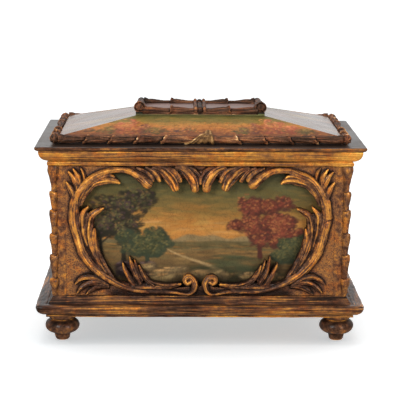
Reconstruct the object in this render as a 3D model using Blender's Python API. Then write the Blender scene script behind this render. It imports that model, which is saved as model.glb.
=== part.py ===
"""Carved and painted table casket with a hinged, hipped lid.

Metres, +Z up. The origin is at the middle of the footprint, on the surface
that the feet stand on. The front faces -Y. Dimensions below are in
millimetres and are scaled once, by MM, when a mesh is made.
"""

import math

import bmesh
import bpy
from mathutils import Matrix

MM = 0.001
GAP = 0.3  # clearance between neighbouring pieces
MITRE = 0.2  # each mitred end stands back by this much

# ---- overall plan: half sizes of the body's outer ground plane
BODY_X, BODY_Y = 181.0, 101.0

# ---- heights from the floor
Z_BASE = 35.0  # underside of the base, top of the feet
Z_LIP = 48.0  # rebate that carries the floor board
Z_BODY = 57.2  # top of the base, where the walls stand
Z_WALL_TOP = 220.5
Z_CORNICE = 220.8
Z_CORNICE_TOP = 240.2
Z_LEDGE = 240.5
Z_LEDGE_TOP = 246.0

# ---- wall layers, as offsets outward (+) or inward (-) of the ground plane
CARCASS_IN, CARCASS_OUT = -20.0, -10.0
PANEL_IN, PANEL_OUT = -9.7, -6.7
FRAME_IN = -6.4
RELIEF = 7.0  # height of the carved ring over the ground

# ---- corner posts
POST_FACE = 15.2  # width of each post's flat face
POST_CENTRE = 5.5  # husk centre, inside the ground planes
HUSK_WIDE, HUSK_NECK = 9.6, 7.0
POST_HUSKS = 6

# ---- feet
FOOT_X, FOOT_Y = 171.0, 91.0
TENON_R, TENON_TOP = 5.0, 44.5
FOOT_PROFILE = (  # radius, height, from the tenon's shoulder down to the toe
    (16.8, 34.7), (17.3, 33.3), (16.4, 32.0), (13.2, 30.8), (14.4, 29.2),
    (14.4, 27.8), (13.7, 26.6), (18.2, 24.6), (21.2, 20.6), (21.2, 14.8),
    (18.0, 10.6), (11.6, 8.5), (9.6, 7.4), (8.6, 0.0),
)

# ---- cartouche openings (half width, half height) and the ring round them
CART_Z = 138.8
CART_HALF_H = 66.0
RING_HALF_H = 78.6
CART_FRONT, RING_FRONT = 131.0, 156.5
CART_SIDE, RING_SIDE = 54.0, 77.5
CART_POWER = 2.4

# ---- lid
LID_X, LID_Y = 172.5, 92.5  # rim, outside
LID_Z = 246.3
RIM_TOP = 255.5
TOP_X, TOP_Y, TOP_Z = 80.0, 44.0, 274.6  # upper edge of the slopes
LID_BOARD = 7.5  # vertical thickness of a slope
RIM_W = 12.5
SEAT_W = 8.0  # flat seat under the top board
TOP_BOARD = 4.3
# eaves garlands
EAVES_X, EAVES_Y, EAVES_Z = 178.0, 98.5, 253.4
EAVES_NECK, EAVES_WIDE, EAVES_BALL = 4.0, 4.9, 5.4
EAVES_HUSK = 31.0
# ridge garlands
RIDGE_X, RIDGE_Y, RIDGE_Z = 74.5, 39.0, 283.4
RIDGE_NECK, RIDGE_WIDE = 3.5, 4.5
RIDGE_HUSK = 28.5

# ---- hinges
HINGE_X = 100.0
HINGE_Y, HINGE_Z = 105.8, 248.8
KNUCKLE_OUT, KNUCKLE_IN = 2.4, 1.2
PIN_R = 1.1
HINGE_W = 30.0
LEAF_BACK, LEAF_FRONT = 117.6, 80.6
SCREW_HEAD, SCREW_SHANK = 2.0, 0.9
SCREW_STEP = 9.0  # screws stand this far each side of the leaf's middle
CASE_SCREW_Y, LID_SCREW_Y = 113.2, 86.4

for old in list(bpy.data.objects):
    bpy.data.objects.remove(old, do_unlink=True)


# ------------------------------------------------------------- materials
def principled(name, colour, rough, metal=0.0):
    m = bpy.data.materials.new(name)
    m.use_nodes = True
    s = m.node_tree.nodes["Principled BSDF"]
    s.inputs["Base Color"].default_value = (*colour, 1.0)
    s.inputs["Roughness"].default_value = rough
    s.inputs["Metallic"].default_value = metal
    return m


GILT = ("gilt_wood", (0.36, 0.19, 0.06), 0.45, 0.3)
BROWN = ("garland_wood", (0.16, 0.075, 0.04), 0.5, 0.0)
VARNISH = ("varnished_wood", (0.07, 0.04, 0.03), 0.28, 0.0)
PAINT = ("painted_panel", (0.17, 0.14, 0.06), 0.4, 0.0)
INSIDE = ("inside_wood", (0.23, 0.13, 0.07), 0.65, 0.0)
BRASS = ("hinge_brass", (0.42, 0.28, 0.11), 0.42, 0.9)
SCREW = ("screw_brass", (0.36, 0.25, 0.11), 0.38, 0.9)

case = bpy.data.objects.new("casket_case", None)
lid = bpy.data.objects.new("lid_axis", None)
lid.location = (0.0, HINGE_Y * MM, HINGE_Z * MM)
for empty in (case, lid):
    bpy.context.scene.collection.objects.link(empty)

SIDES = {
    "front": (0.0, BODY_X, BODY_Y),
    "right": (math.pi / 2, BODY_Y, BODY_X),
    "rear": (math.pi, BODY_X, BODY_Y),
    "left": (-math.pi / 2, BODY_Y, BODY_X),
}


def place(name, bm, finish, parent=case, turn=0.0, smooth=None):
    """One named piece. The mesh is drawn as if it were at the front, and the
    object turns about the casket's upright middle line to its own side."""
    bmesh.ops.scale(bm, vec=(MM, MM, MM), verts=bm.verts)
    bmesh.ops.recalc_face_normals(bm, faces=bm.faces)
    me = bpy.data.meshes.new(name)
    bm.to_mesh(me)
    bm.free()
    me.materials.append(principled(name + "_" + finish[0], *finish[1:]))
    if smooth:
        me.shade_smooth()
        me.set_sharp_from_angle(angle=math.radians(smooth))
    ob = bpy.data.objects.new(name, me)
    bpy.context.scene.collection.objects.link(ob)
    ob.parent = parent
    ob.location = -parent.location
    ob.rotation_euler = (0.0, 0.0, turn)
    return ob


def cutter(name, bm):
    bmesh.ops.scale(bm, vec=(MM, MM, MM), verts=bm.verts)
    bmesh.ops.recalc_face_normals(bm, faces=bm.faces)
    me = bpy.data.meshes.new(name)
    bm.to_mesh(me)
    bm.free()
    ob = bpy.data.objects.new(name, me)
    bpy.context.scene.collection.objects.link(ob)
    ob.hide_render = True
    ob.display_type = "WIRE"
    return ob


def cut(ob, tools):
    for tool in tools:
        m = ob.modifiers.new("cut_" + tool.name, "BOOLEAN")
        m.operation = "DIFFERENCE"
        m.solver = "EXACT"
        m.object = tool


# ------------------------------------------------------------- mesh helpers
def block(lo, hi):
    bm = bmesh.new()
    bmesh.ops.create_cube(bm, size=1.0)
    for v in bm.verts:
        for k in range(3):
            v.co[k] = hi[k] if v.co[k] > 0 else lo[k]
    return bm


def loops_solid(loops, caps=True):
    """Closed skin through a list of point loops, all of the same length."""
    bm = bmesh.new()
    rows = [[bm.verts.new(p) for p in loop] for loop in loops]
    n = len(loops[0])
    pairs = list(zip(rows, rows[1:]))
    if not caps:
        pairs.append((rows[-1], rows[0]))
    for a, b in pairs:
        for i in range(n):
            j = (i + 1) % n
            bm.faces.new((a[i], a[j], b[j], b[i]))
    if caps:
        bm.faces.new(rows[0])
        bm.faces.new(rows[-1])
    return bm


def mitred(profile, half_len, dist):
    """A length along X with mitred ends: profile holds (u, z), u outward."""
    ends = []
    for sign in (-1.0, 1.0):
        ends.append(
            [(sign * (half_len + u - MITRE), -(dist + u), z) for u, z in profile]
        )
    return loops_solid(ends)


def turned(profile, x, y, steps):
    """A solid of revolution about the upright line at (x, y)."""
    bm = bmesh.new()
    verts = [bm.verts.new((r, 0.0, z)) for r, z in profile]
    edges = [bm.edges.new(p) for p in zip(verts, verts[1:])]
    bmesh.ops.spin(
        bm, geom=verts + edges, axis=(0, 0, 1), cent=(0, 0, 0),
        dvec=(0, 0, 0), angle=2 * math.pi, steps=steps, use_merge=True,
    )
    bmesh.ops.remove_doubles(bm, verts=bm.verts, dist=1e-4)
    bmesh.ops.translate(bm, vec=(x, y, 0), verts=bm.verts)
    return bm


def rod(x, y, z0, z1, r, sides=14):
    bm = bmesh.new()
    bmesh.ops.create_cone(
        bm, cap_ends=True, segments=sides, radius1=r, radius2=r, depth=z1 - z0,
        matrix=Matrix.Translation((x, y, (z0 + z1) / 2)),
    )
    return bm


# ------------------------------------------------------------- the base
def base_profile():
    pts = [(-40.0, Z_BASE), (-40.0, Z_LIP), (-20.3, Z_LIP), (-20.3, Z_BODY),
           (0.6, Z_BODY), (1.2, 56.6), (5.0, 54.2), (9.0, 51.5), (12.6, 49.3),
           (13.3, 48.4)]
    for k in range(9):  # torus
        a = math.radians(78 - 21 * k)
        pts.append((12.4 + 8.9 * math.cos(a), 43.0 + 5.2 * math.sin(a)))
    pts += [(11.0, 37.4), (11.0, Z_BASE)]
    return pts


FEET = {
    "front_left": (-FOOT_X, -FOOT_Y), "front_right": (FOOT_X, -FOOT_Y),
    "rear_left": (-FOOT_X, FOOT_Y), "rear_right": (FOOT_X, FOOT_Y),
}
foot_holes = {
    k: cutter("tenon_hole_" + k, rod(x, y, 30.0, TENON_TOP + 0.5, TENON_R + 0.3))
    for k, (x, y) in FEET.items()
}
for side, (turn, half, dist) in SIDES.items():
    ob = place("base_moulding_" + side, mitred(base_profile(), half, dist),
               GILT, turn=turn, smooth=30)
    cut(ob, [foot_holes[k] for k in FEET if side in k])

for k, (x, y) in FEET.items():
    prof = [(0.0, TENON_TOP), (TENON_R, TENON_TOP), (TENON_R, 34.7), *FOOT_PROFILE, (0.0, 0.0)]
    place("foot_" + k, turned(prof, x, y, 16), BROWN, smooth=40)

place(
    "bottom_board",
    block((-160.4, -80.4, Z_LIP + GAP), (160.4, 80.4, Z_LIP + GAP + 8.0)),
    INSIDE,
)

# ------------------------------------------------------------- the walls
for side, (turn, half, dist) in SIDES.items():
    long = side in ("front", "rear")
    # long carcass walls run past the short ones at the corners
    x = half + CARCASS_OUT if long else half + CARCASS_IN - GAP
    place(
        "carcass_" + side,
        block((-x, -(dist + CARCASS_OUT), Z_BODY + GAP),
              (x, -(dist + CARCASS_IN), Z_WALL_TOP)),
        INSIDE, turn=turn,
    )
    x = half - POST_FACE - GAP * 2
    place(
        "painted_panel_" + side,
        block((-x, -(dist + PANEL_OUT), Z_BODY + GAP * 2),
              (x, -(dist + PANEL_IN), Z_WALL_TOP - GAP)),
        PAINT, turn=turn,
    )


def radius(theta, a, b):
    c, s = abs(math.cos(theta)), abs(math.sin(theta))
    return ((c / a) ** CART_POWER + (s / b) ** CART_POWER) ** (-1 / CART_POWER)


def carved_frame(half, dist, cart, ring):
    """Pierced board with a raised ring round its opening, as nested loops."""
    x = half - POST_FACE - GAP
    lo, hi = Z_BODY + GAP, Z_WALL_TOP
    nx, nz = (14, 8) if half > dist else (8, 8)
    edge = []
    for k in range(nx):
        edge.append((-x + 2 * x * k / nx, lo))
    for k in range(nz):
        edge.append((x, lo + (hi - lo) * k / nz))
    for k in range(nx):
        edge.append((x - 2 * x * k / nx, hi))
    for k in range(nz):
        edge.append((-x, hi - (hi - lo) * k / nz))
    angles = [math.atan2(z - CART_Z, px) for px, z in edge]

    def oval(a, b, out):
        return [
            (radius(t, a, b) * math.cos(t), -(dist + out),
             CART_Z + radius(t, a, b) * math.sin(t))
            for t in angles
        ]

    ma, mb = cart + 0.4 * (ring - cart), CART_HALF_H + 0.4 * (RING_HALF_H - CART_HALF_H)
    return loops_solid(
        [
            oval(cart, CART_HALF_H, FRAME_IN),
            oval(cart, CART_HALF_H, RELIEF * 0.6),
            oval(ma, mb, RELIEF),
            oval(ring - 3.0, RING_HALF_H - 2.0, RELIEF * 0.55),
            oval(ring, RING_HALF_H, 0.0),
            [(px, -dist, z) for px, z in edge],
            [(px, -(dist + FRAME_IN), z) for px, z in edge],
        ],
        caps=False,
    )


for side, (turn, half, dist) in SIDES.items():
    long = side in ("front", "rear")
    place(
        "carved_frame_" + side,
        carved_frame(half, dist, CART_FRONT if long else CART_SIDE,
                     RING_FRONT if long else RING_SIDE),
        GILT, turn=turn, smooth=35,
    )


# corner posts: an L in plan that fits round the wall corner, with husks that
# open upward carved on the outer edge
def corner_post(sx, sy):
    lo, hi = Z_BODY + GAP, Z_WALL_TOP
    cx, cy = BODY_X - POST_CENTRE, BODY_Y - POST_CENTRE
    step = (hi - lo) / POST_HUSKS
    levels = []
    for k in range(POST_HUSKS):
        z = lo + k * step
        levels += [(z, HUSK_NECK), (z + step * 0.55, HUSK_NECK + 0.9),
                   (z + step - 0.2, HUSK_WIDE)]
    x0, y0 = BODY_X - POST_FACE, BODY_Y - POST_FACE
    wx, wy = BODY_X + CARCASS_OUT + GAP, BODY_Y + CARCASS_OUT + GAP
    loops = []
    for z, r in levels:
        pts = [(x0, wy), (x0, BODY_Y)]
        for k in range(7):
            a = math.radians(126 - 27 * k)
            pts.append((cx + r * math.cos(a), cy + r * math.sin(a)))
        pts += [(BODY_X, y0), (wx, y0), (wx, wy)]
        loops.append([(sx * px, sy * py, z) for px, py in pts])
    return loops_solid(loops)


for k, (x, y) in FEET.items():
    place(
        "corner_garland_" + k,
        corner_post(math.copysign(1, x), math.copysign(1, y)),
        GILT, smooth=40,
    )


# ------------------------------------------------------------- cornice, ledge
CORNICE = [
    (-20.0, Z_CORNICE), (-20.0, Z_CORNICE_TOP), (13.7, Z_CORNICE_TOP),
    (13.7, 237.4), (13.1, 234.6), (12.0, 232.2), (10.3, 229.9), (8.0, 228.2),
    (5.7, 227.8), (5.4, 226.8), (6.3, 225.6), (6.3, 224.0), (5.2, 222.7),
    (3.4, 222.0), (1.8, 221.7), (1.8, Z_CORNICE),
]
LEDGE = [
    (-20.0, Z_LEDGE), (-20.0, Z_LEDGE_TOP), (18.2, Z_LEDGE_TOP), (18.8, 245.6),
    (19.0, 244.6), (18.7, 243.2), (17.6, 241.8), (16.0, 240.9), (15.2, Z_LEDGE),
]
for side, (turn, half, dist) in SIDES.items():
    place("cornice_" + side, mitred(CORNICE, half, dist), GILT, turn=turn, smooth=30)
    ob = place("ledge_" + side, mitred(LEDGE, half, dist), VARNISH, turn=turn, smooth=30)
    if side == "rear":
        ledge_rear = ob

# ------------------------------------------------------------- the lid
RISE = (TOP_Z - RIM_TOP) / (LID_Y - TOP_Y)
SPREAD = (LID_X - TOP_X) / (LID_Y - TOP_Y)  # plan of the hips: dx for each dy


def lid_profile():
    """(distance in from the rim, height) on the long sides."""
    seat = LID_Y - TOP_Y + SEAT_W
    return [
        (0.0, LID_Z), (0.0, RIM_TOP), (LID_Y - TOP_Y, TOP_Z), (seat, TOP_Z),
        (seat, RIM_TOP + RISE * seat - LID_BOARD),
        (RIM_W, RIM_TOP + RISE * RIM_W - LID_BOARD), (RIM_W, LID_Z),
    ]


def lid_slope(long):
    k, half, dist = (1.0, LID_X, LID_Y) if long else (SPREAD, LID_Y, LID_X)
    other = SPREAD if long else 1.0
    ends = []
    for sign in (-1.0, 1.0):
        ends.append(
            [(sign * (half - d * other - MITRE), -(dist - d * k), z)
             for d, z in lid_profile()]
        )
    return loops_solid(ends)


for side, (turn, half, dist) in SIDES.items():
    long = side in ("front", "rear")
    ob = place("lid_slope_" + side, lid_slope(long), VARNISH, parent=lid, turn=turn)
    if side == "rear":
        lid_rear = ob
place(
    "lid_top_panel",
    block((-TOP_X - 0.5, -TOP_Y - 0.5, TOP_Z + GAP),
          (TOP_X + 0.5, TOP_Y + 0.5, TOP_Z + GAP + TOP_BOARD)),
    VARNISH, parent=lid,
)


def garland(stations, y, z, flat, axis="back", sides=8):
    """A string of husks along X. stations holds (x, radius). The rod is cut
    flat where it lies on what carries it: behind it, or under it."""
    loops = []
    for x, r in stations:
        pts = []
        for k in range(sides):
            a = 2 * math.pi * (k + 0.5) / sides
            py, pz = y + r * math.cos(a), z + r * math.sin(a)
            if axis == "back":
                py = min(py, flat)
            else:
                pz = max(pz, flat)
            pts.append((x, py, pz))
        loops.append(pts)
    return loops_solid(loops)


def husks(start, end, length, neck, wide):
    """Stations of husks from a neck at start to a mouth at end, start < end."""
    n = max(1, round((end - start) / length))
    step = (end - start) / n
    out = []
    for k in range(n):
        x = start + k * step
        out += [(x + 0.2, neck), (x + step * 0.6, neck + 0.3 * (wide - neck)),
                (x + step, wide)]
    return out


def mirrored(half):
    return [(-x, r) for x, r in reversed(half)] + half


def eaves_long(front):
    end = LID_X - 0.3
    if front:  # the ribbon tie bound round the middle stands proud
        half = [(3.0, EAVES_NECK + 1.3), (9.5, EAVES_NECK + 1.3), (11.0, EAVES_NECK)]
        start = 12.0
    else:
        half = [(2.0, EAVES_NECK)]
        start = 4.0
    half += husks(start, end, EAVES_HUSK, EAVES_NECK, EAVES_WIDE)
    return mirrored(half)


def eaves_short():
    end = EAVES_Y + EAVES_BALL
    half = [(2.0, EAVES_NECK)] + husks(3.0, EAVES_Y - 6.0, EAVES_HUSK, EAVES_NECK, EAVES_WIDE)
    half += [(EAVES_Y - 5.6, EAVES_NECK), (EAVES_Y - 3.6, EAVES_BALL - 0.4),
             (EAVES_Y, EAVES_BALL), (EAVES_Y + 3.4, EAVES_BALL - 0.9), (end, 2.6)]
    return mirrored(half)


def ridge_long():
    half = [(2.2, RIDGE_NECK), (3.2, RIDGE_NECK + 0.9), (6.2, RIDGE_NECK + 0.9),
            (7.0, RIDGE_NECK)]
    half += husks(8.0, RIDGE_X - RIDGE_WIDE - 0.4, RIDGE_HUSK, RIDGE_NECK, RIDGE_WIDE)
    return mirrored(half)


def ridge_short():
    half = [(2.0, RIDGE_NECK)] + husks(3.0, RIDGE_Y - 3.0, RIDGE_HUSK, RIDGE_NECK, RIDGE_WIDE)
    half += [(RIDGE_Y - 2.5, RIDGE_NECK), (RIDGE_Y - 0.5, RIDGE_WIDE),
             (RIDGE_Y + 4.0, RIDGE_WIDE), (RIDGE_Y + 4.8, RIDGE_WIDE - 1.0)]
    return mirrored(half)


for side, (turn, half, dist) in SIDES.items():
    long = side in ("front", "rear")
    if long:
        bm = garland(eaves_long(side == "front"), -EAVES_Y, EAVES_Z, -(LID_Y + GAP))
    else:
        bm = garland(eaves_short(), -EAVES_X, EAVES_Z, -(LID_X + GAP))
    place("eaves_garland_" + side, bm, BROWN, parent=lid, turn=turn, smooth=40)
    seat = TOP_Z + GAP * 2 + TOP_BOARD
    if long:
        bm = garland(ridge_long(), -RIDGE_Y, RIDGE_Z, seat, "under")
    else:
        bm = garland(ridge_short(), -RIDGE_X, RIDGE_Z, seat, "under")
    place("ridge_garland_" + side, bm, BROWN, parent=lid, turn=turn, smooth=40)


# ------------------------------------------------------------- the hinges
def leaf_section(back):
    """Section of a leaf rolled round the pin: flat strip, then the eye."""
    s = 1.0 if back else -1.0
    far = LEAF_BACK - HINGE_Y if back else HINGE_Y - LEAF_FRONT
    outer, inner = [(far, -KNUCKLE_OUT)], [(far, -KNUCKLE_IN)]
    n = 13
    for k in range(n + 1):
        a = math.radians(-90 - 285 * k / n)
        outer.append((KNUCKLE_OUT * math.cos(a), KNUCKLE_OUT * math.sin(a)))
        inner.append((KNUCKLE_IN * math.cos(a), KNUCKLE_IN * math.sin(a)))
    ring = outer + inner[::-1]
    return [(HINGE_Y + s * y, HINGE_Z + z) for y, z in ring]


def strip(section, x0, x1):
    return loops_solid([[(x0, y, z) for y, z in section], [(x1, y, z) for y, z in section]])


def screw_bm(x, y, z_head, down):
    """Countersunk screw, its flat head flush with the leaf."""
    s = -1.0 if down else 1.0
    prof = [(0.0, 0.0), (SCREW_HEAD, 0.0), (SCREW_HEAD, 0.15),
            (SCREW_SHANK, 1.15), (SCREW_SHANK, 4.2), (0.0, 5.0)]
    return turned([(r, z_head + s * d) for r, d in prof], x, y, 12)


def screw_hole(x, y, z_head, down):
    s = -1.0 if down else 1.0
    prof = [(0.0, -0.6), (SCREW_HEAD + 0.3, -0.6), (SCREW_HEAD + 0.3, 0.2),
            (SCREW_SHANK + 0.3, 1.3), (SCREW_SHANK + 0.3, 5.2), (0.0, 5.2)]
    return turned([(r, z_head + s * d) for r, d in prof], x, y, 12)


leaf_top = HINGE_Z - KNUCKLE_IN
leaf_bottom = HINGE_Z - KNUCKLE_OUT
third = HINGE_W / 3
for hand, x in (("left", -HINGE_X), ("right", HINGE_X)):
    # fixed leaf: two knuckles, cut away between them for the moving one
    ob = place(
        "hinge_case_leaf_" + hand,
        strip(leaf_section(True), x - HINGE_W / 2, x + HINGE_W / 2), BRASS, smooth=35,
    )
    gap = cutter(
        "knuckle_gap_case_" + hand,
        block((x - third / 2 - GAP / 2, HINGE_Y - 5, HINGE_Z - 5),
              (x + third / 2 + GAP / 2, HINGE_Y + 3.2, HINGE_Z + 5)),
    )
    holes = []
    for n, dx in (("inner", -SCREW_STEP), ("outer", SCREW_STEP)):
        px = x + dx * (1 if x > 0 else -1)
        hole = cutter("case_screw_hole_%s_%s" % (hand, n),
                      screw_hole(px, CASE_SCREW_Y, leaf_top, True))
        holes.append(hole)
        place("case_screw_%s_%s" % (hand, n),
              screw_bm(px, CASE_SCREW_Y, leaf_top, True), SCREW, smooth=40)
    cut(ob, [gap, *holes])
    cut(ledge_rear, holes)

    # moving leaf: one knuckle in the middle
    ob = place(
        "hinge_lid_leaf_" + hand,
        strip(leaf_section(False), x - HINGE_W / 2, x + HINGE_W / 2), BRASS,
        parent=lid, smooth=35,
    )
    gaps = [
        cutter(
            "knuckle_gap_lid_%s_%d" % (hand, i),
            block((min(a, b), HINGE_Y - 3.2, HINGE_Z - 5), (max(a, b), HINGE_Y + 5, HINGE_Z + 5)),
        )
        for i, (a, b) in enumerate(
            ((x - HINGE_W, x - third / 2 + GAP / 2), (x + third / 2 - GAP / 2, x + HINGE_W))
        )
    ]
    holes = []
    for n, dx in (("inner", -SCREW_STEP), ("outer", SCREW_STEP)):
        px = x + dx * (1 if x > 0 else -1)
        hole = cutter("lid_screw_hole_%s_%s" % (hand, n),
                      screw_hole(px, LID_SCREW_Y, leaf_bottom, False))
        holes.append(hole)
        place("lid_screw_%s_%s" % (hand, n),
              screw_bm(px, LID_SCREW_Y, leaf_bottom, False), SCREW,
              parent=lid, smooth=40)
    cut(ob, [*gaps, *holes])
    # the moving leaf is let into the underside of the lid
    bed = cutter(
        "leaf_bed_" + hand,
        block((x - HINGE_W / 2 - GAP, LEAF_FRONT - GAP, LID_Z - 2),
              (x + HINGE_W / 2 + GAP, LID_Y + 5, leaf_top + GAP)),
    )
    cut(lid_rear, [bed, *holes])

    # the pin runs through all three knuckles
    bm = bmesh.new()
    bmesh.ops.create_cone(
        bm, cap_ends=True, segments=16, radius1=PIN_R, radius2=PIN_R,
        depth=HINGE_W + 1.2,
        matrix=Matrix.Translation((x, HINGE_Y, HINGE_Z)) @ Matrix.Rotation(math.pi / 2, 4, "Y"),
    )
    place("hinge_pin_" + hand, bm, BRASS, smooth=40)
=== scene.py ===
"""Looks of the carved casket: gilt carving, husk garlands, painted panels."""

import math

import bpy
import numpy as np
from mathutils import Euler, Matrix, Vector


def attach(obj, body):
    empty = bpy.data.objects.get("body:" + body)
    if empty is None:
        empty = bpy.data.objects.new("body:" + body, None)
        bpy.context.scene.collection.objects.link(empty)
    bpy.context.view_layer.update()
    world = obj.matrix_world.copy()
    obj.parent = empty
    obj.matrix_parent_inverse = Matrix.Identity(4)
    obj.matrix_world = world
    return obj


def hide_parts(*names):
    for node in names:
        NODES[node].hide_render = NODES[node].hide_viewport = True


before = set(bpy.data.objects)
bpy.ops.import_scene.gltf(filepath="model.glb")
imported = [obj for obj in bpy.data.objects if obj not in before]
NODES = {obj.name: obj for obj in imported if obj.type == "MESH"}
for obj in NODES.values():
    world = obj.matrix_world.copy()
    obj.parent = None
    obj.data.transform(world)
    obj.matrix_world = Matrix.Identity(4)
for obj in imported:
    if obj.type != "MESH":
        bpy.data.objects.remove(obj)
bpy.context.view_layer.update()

# ----------------------------------------------------------------- dimensions
# millimetres, the same construction as the solids
BODY_X, BODY_Y = 181.0, 101.0
Z_BODY, Z_WALL_TOP = 57.2, 220.5
FRAME_IN = -6.4
CART_Z = 138.8
LID_X, LID_Y, RIM_TOP = 172.5, 92.5, 255.5
TOP_X, TOP_Y, TOP_Z = 80.0, 44.0, 274.6
RISE = (TOP_Z - RIM_TOP) / (LID_Y - TOP_Y)
SPREAD = (LID_X - TOP_X) / (LID_Y - TOP_Y)
SIDES = {
    "front": (0.0, BODY_X, BODY_Y),
    "right": (90.0, BODY_Y, BODY_X),
    "rear": (180.0, BODY_X, BODY_Y),
    "left": (-90.0, BODY_Y, BODY_X),
}


# ----------------------------------------------------------------- mesh tools
def mesh_of(name, verts_mm, *faces):
    """Mesh from millimetre points and any number of face arrays (quads, tris, n-gons)."""
    me = bpy.data.meshes.new(name)
    v = np.ascontiguousarray(np.asarray(verts_mm, np.float64) * 0.001, dtype=np.float32)
    index, starts, n = [], [], 0
    for f in faces:
        f = np.asarray(f, np.int32)
        if f.size == 0:
            continue
        if f.ndim == 1:
            f = f[None, :]
        starts.append(n + np.arange(len(f), dtype=np.int32) * f.shape[1])
        index.append(f.ravel())
        n += f.size
    me.vertices.add(len(v))
    me.vertices.foreach_set("co", v.ravel())
    me.loops.add(n)
    me.loops.foreach_set("vertex_index", np.concatenate(index))
    start = np.concatenate(starts)
    me.polygons.add(len(start))
    me.polygons.foreach_set("loop_start", start)
    me.update(calc_edges=True)
    me.validate()
    if volume(me) < 0:
        me.flip_normals()
    return me


def coords(me):
    co = np.empty(len(me.vertices) * 3, np.float32)
    me.vertices.foreach_get("co", co)
    return co.reshape(-1, 3).astype(np.float64)


def set_coords(me, co):
    me.vertices.foreach_set("co", np.ascontiguousarray(co, dtype=np.float32).ravel())
    me.update()


def normals(me):
    no = np.empty(len(me.vertices) * 3, np.float32)
    me.vertex_normals.foreach_get("vector", no)
    return no.reshape(-1, 3).astype(np.float64)


def volume(me):
    me.calc_loop_triangles()
    t = np.empty(len(me.loop_triangles) * 3, np.int32)
    me.loop_triangles.foreach_get("vertices", t)
    t = t.reshape(-1, 3)
    co = coords(me)
    return float((co[t[:, 0]] * np.cross(co[t[:, 1]], co[t[:, 2]])).sum())


def grid_quads(n, m, first=0, close_n=False, close_m=False):
    """Quads over n rows of m points."""
    a = np.arange(n if close_n else n - 1)
    b = np.arange(m if close_m else m - 1)
    i, j = np.meshgrid(a, b, indexing="ij")
    i, j = i.ravel(), j.ravel()
    i2, j2 = (i + 1) % n, (j + 1) % m
    return first + np.stack([i * m + j, i * m + j2, i2 * m + j2, i2 * m + j], 1)


def fan(ring, centre):
    """Triangles closing a ring of indices on one point."""
    ring = np.asarray(ring)
    return np.stack([ring, np.roll(ring, -1), np.full(len(ring), centre)], 1)


def tube(rings):
    """Closed tube of rings (n, m, 3): points, quads, cap triangles."""
    n, m, _ = rings.shape
    v = np.vstack([rings.reshape(-1, 3), rings[0].mean(0)[None], rings[-1].mean(0)[None]])
    caps = np.vstack([fan(np.arange(m)[::-1], n * m), fan((n - 1) * m + np.arange(m), n * m + 1)])
    return v, grid_quads(n, m, close_m=True), caps


class Parts:
    """Collects closed shells into one mesh."""

    def __init__(self):
        self.v, self.q, self.t, self.n = [], [], [], 0

    def add(self, v, quads, tris=None):
        self.v.append(v)
        self.q.append(np.asarray(quads) + self.n)
        if tris is not None and len(tris):
            self.t.append(np.asarray(tris) + self.n)
        self.n += len(v)

    def mesh(self, name):
        faces = [np.vstack(self.q)]
        if self.t:
            faces.append(np.vstack(self.t))
        return mesh_of(name, np.vstack(self.v), *faces)


def evaluated(me, *mods):
    """The mesh after a list of (type, settings) modifiers."""
    ob = bpy.data.objects.new("work", me)
    bpy.context.scene.collection.objects.link(ob)
    for kind, settings in mods:
        mod = ob.modifiers.new(kind.lower(), kind)
        for k, val in settings.items():
            setattr(mod, k, val)
    bpy.context.view_layer.update()
    dg = bpy.context.evaluated_depsgraph_get()
    out = bpy.data.meshes.new_from_object(ob.evaluated_get(dg))
    bpy.data.objects.remove(ob)
    return out


def neighbours(me):
    e = np.empty(len(me.edges) * 2, np.int32)
    me.edges.foreach_get("vertices", e)
    e = e.reshape(-1, 2)
    a = np.concatenate([e[:, 0], e[:, 1]])
    b = np.concatenate([e[:, 1], e[:, 0]])
    n = len(me.vertices)
    return a, b, np.maximum(np.bincount(a, minlength=n), 1), n


def averaged(p, link):
    a, b, deg, n = link
    if p.ndim == 1:
        return np.bincount(a, weights=p[b], minlength=n) / deg
    return np.stack([np.bincount(a, weights=p[b, k], minlength=n) for k in range(p.shape[1])], 1) / deg[:, None]


def relaxed(me, rounds, share=0.5):
    co, link = coords(me), neighbours(me)
    for _ in range(rounds):
        co = co + share * (averaged(co, link) - co)
        co = co - share * 0.94 * (averaged(co, link) - co)
    set_coords(me, co)


def put(me, name, values):
    at = me.attributes.get(name) or me.attributes.new(name, "FLOAT", "POINT")
    at.data.foreach_set("value", np.ascontiguousarray(values, dtype=np.float32))


def put_vector(me, name, values):
    at = me.attributes.get(name) or me.attributes.new(name, "FLOAT_VECTOR", "POINT")
    at.data.foreach_set("vector", np.ascontiguousarray(values, dtype=np.float32).ravel())


def put_colour(me, name, rgb):
    at = me.attributes.get(name) or me.attributes.new(name, "FLOAT_COLOR", "POINT")
    rgba = np.ones((len(rgb), 4), np.float32)
    rgba[:, :3] = rgb
    at.data.foreach_set("color", rgba.ravel())


def mark_wear_and_shade(me, fine=2, broad=16, keep=1.0):
    """Stores how far each point stands out of (+) or lies below (-) its surroundings, in mm;
    the gilt materials read it as rubbed leaf with painted highlight on ridges and painted shade in hollows.
    keep fades both out, for edges that butt against another piece."""
    co, no, link = coords(me), normals(me), neighbours(me)
    p = co
    for k in range(broad):
        p = 0.4 * p + 0.6 * averaged(p, link)
        if k + 1 == fine:
            put(me, "edge", averaged(((co - p) * no).sum(1), link) * 1000.0 * keep)
    put(me, "hollow", ((co - p) * no).sum(1) * 1000.0 * keep)


def turned_about_z(v, degrees):
    a = math.radians(degrees)
    c, s = round(math.cos(a), 12), round(math.sin(a), 12)
    out = v.copy()
    out[:, 0] = v[:, 0] * c - v[:, 1] * s
    out[:, 1] = v[:, 0] * s + v[:, 1] * c
    return out


def turned_mesh(me, name, degrees):
    out = me.copy()
    out.name = name
    set_coords(out, turned_about_z(coords(out), degrees))
    return out


def smooth(me, sharp=None):
    me.shade_smooth()
    if sharp is not None:
        me.set_sharp_from_angle(angle=math.radians(sharp))


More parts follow.
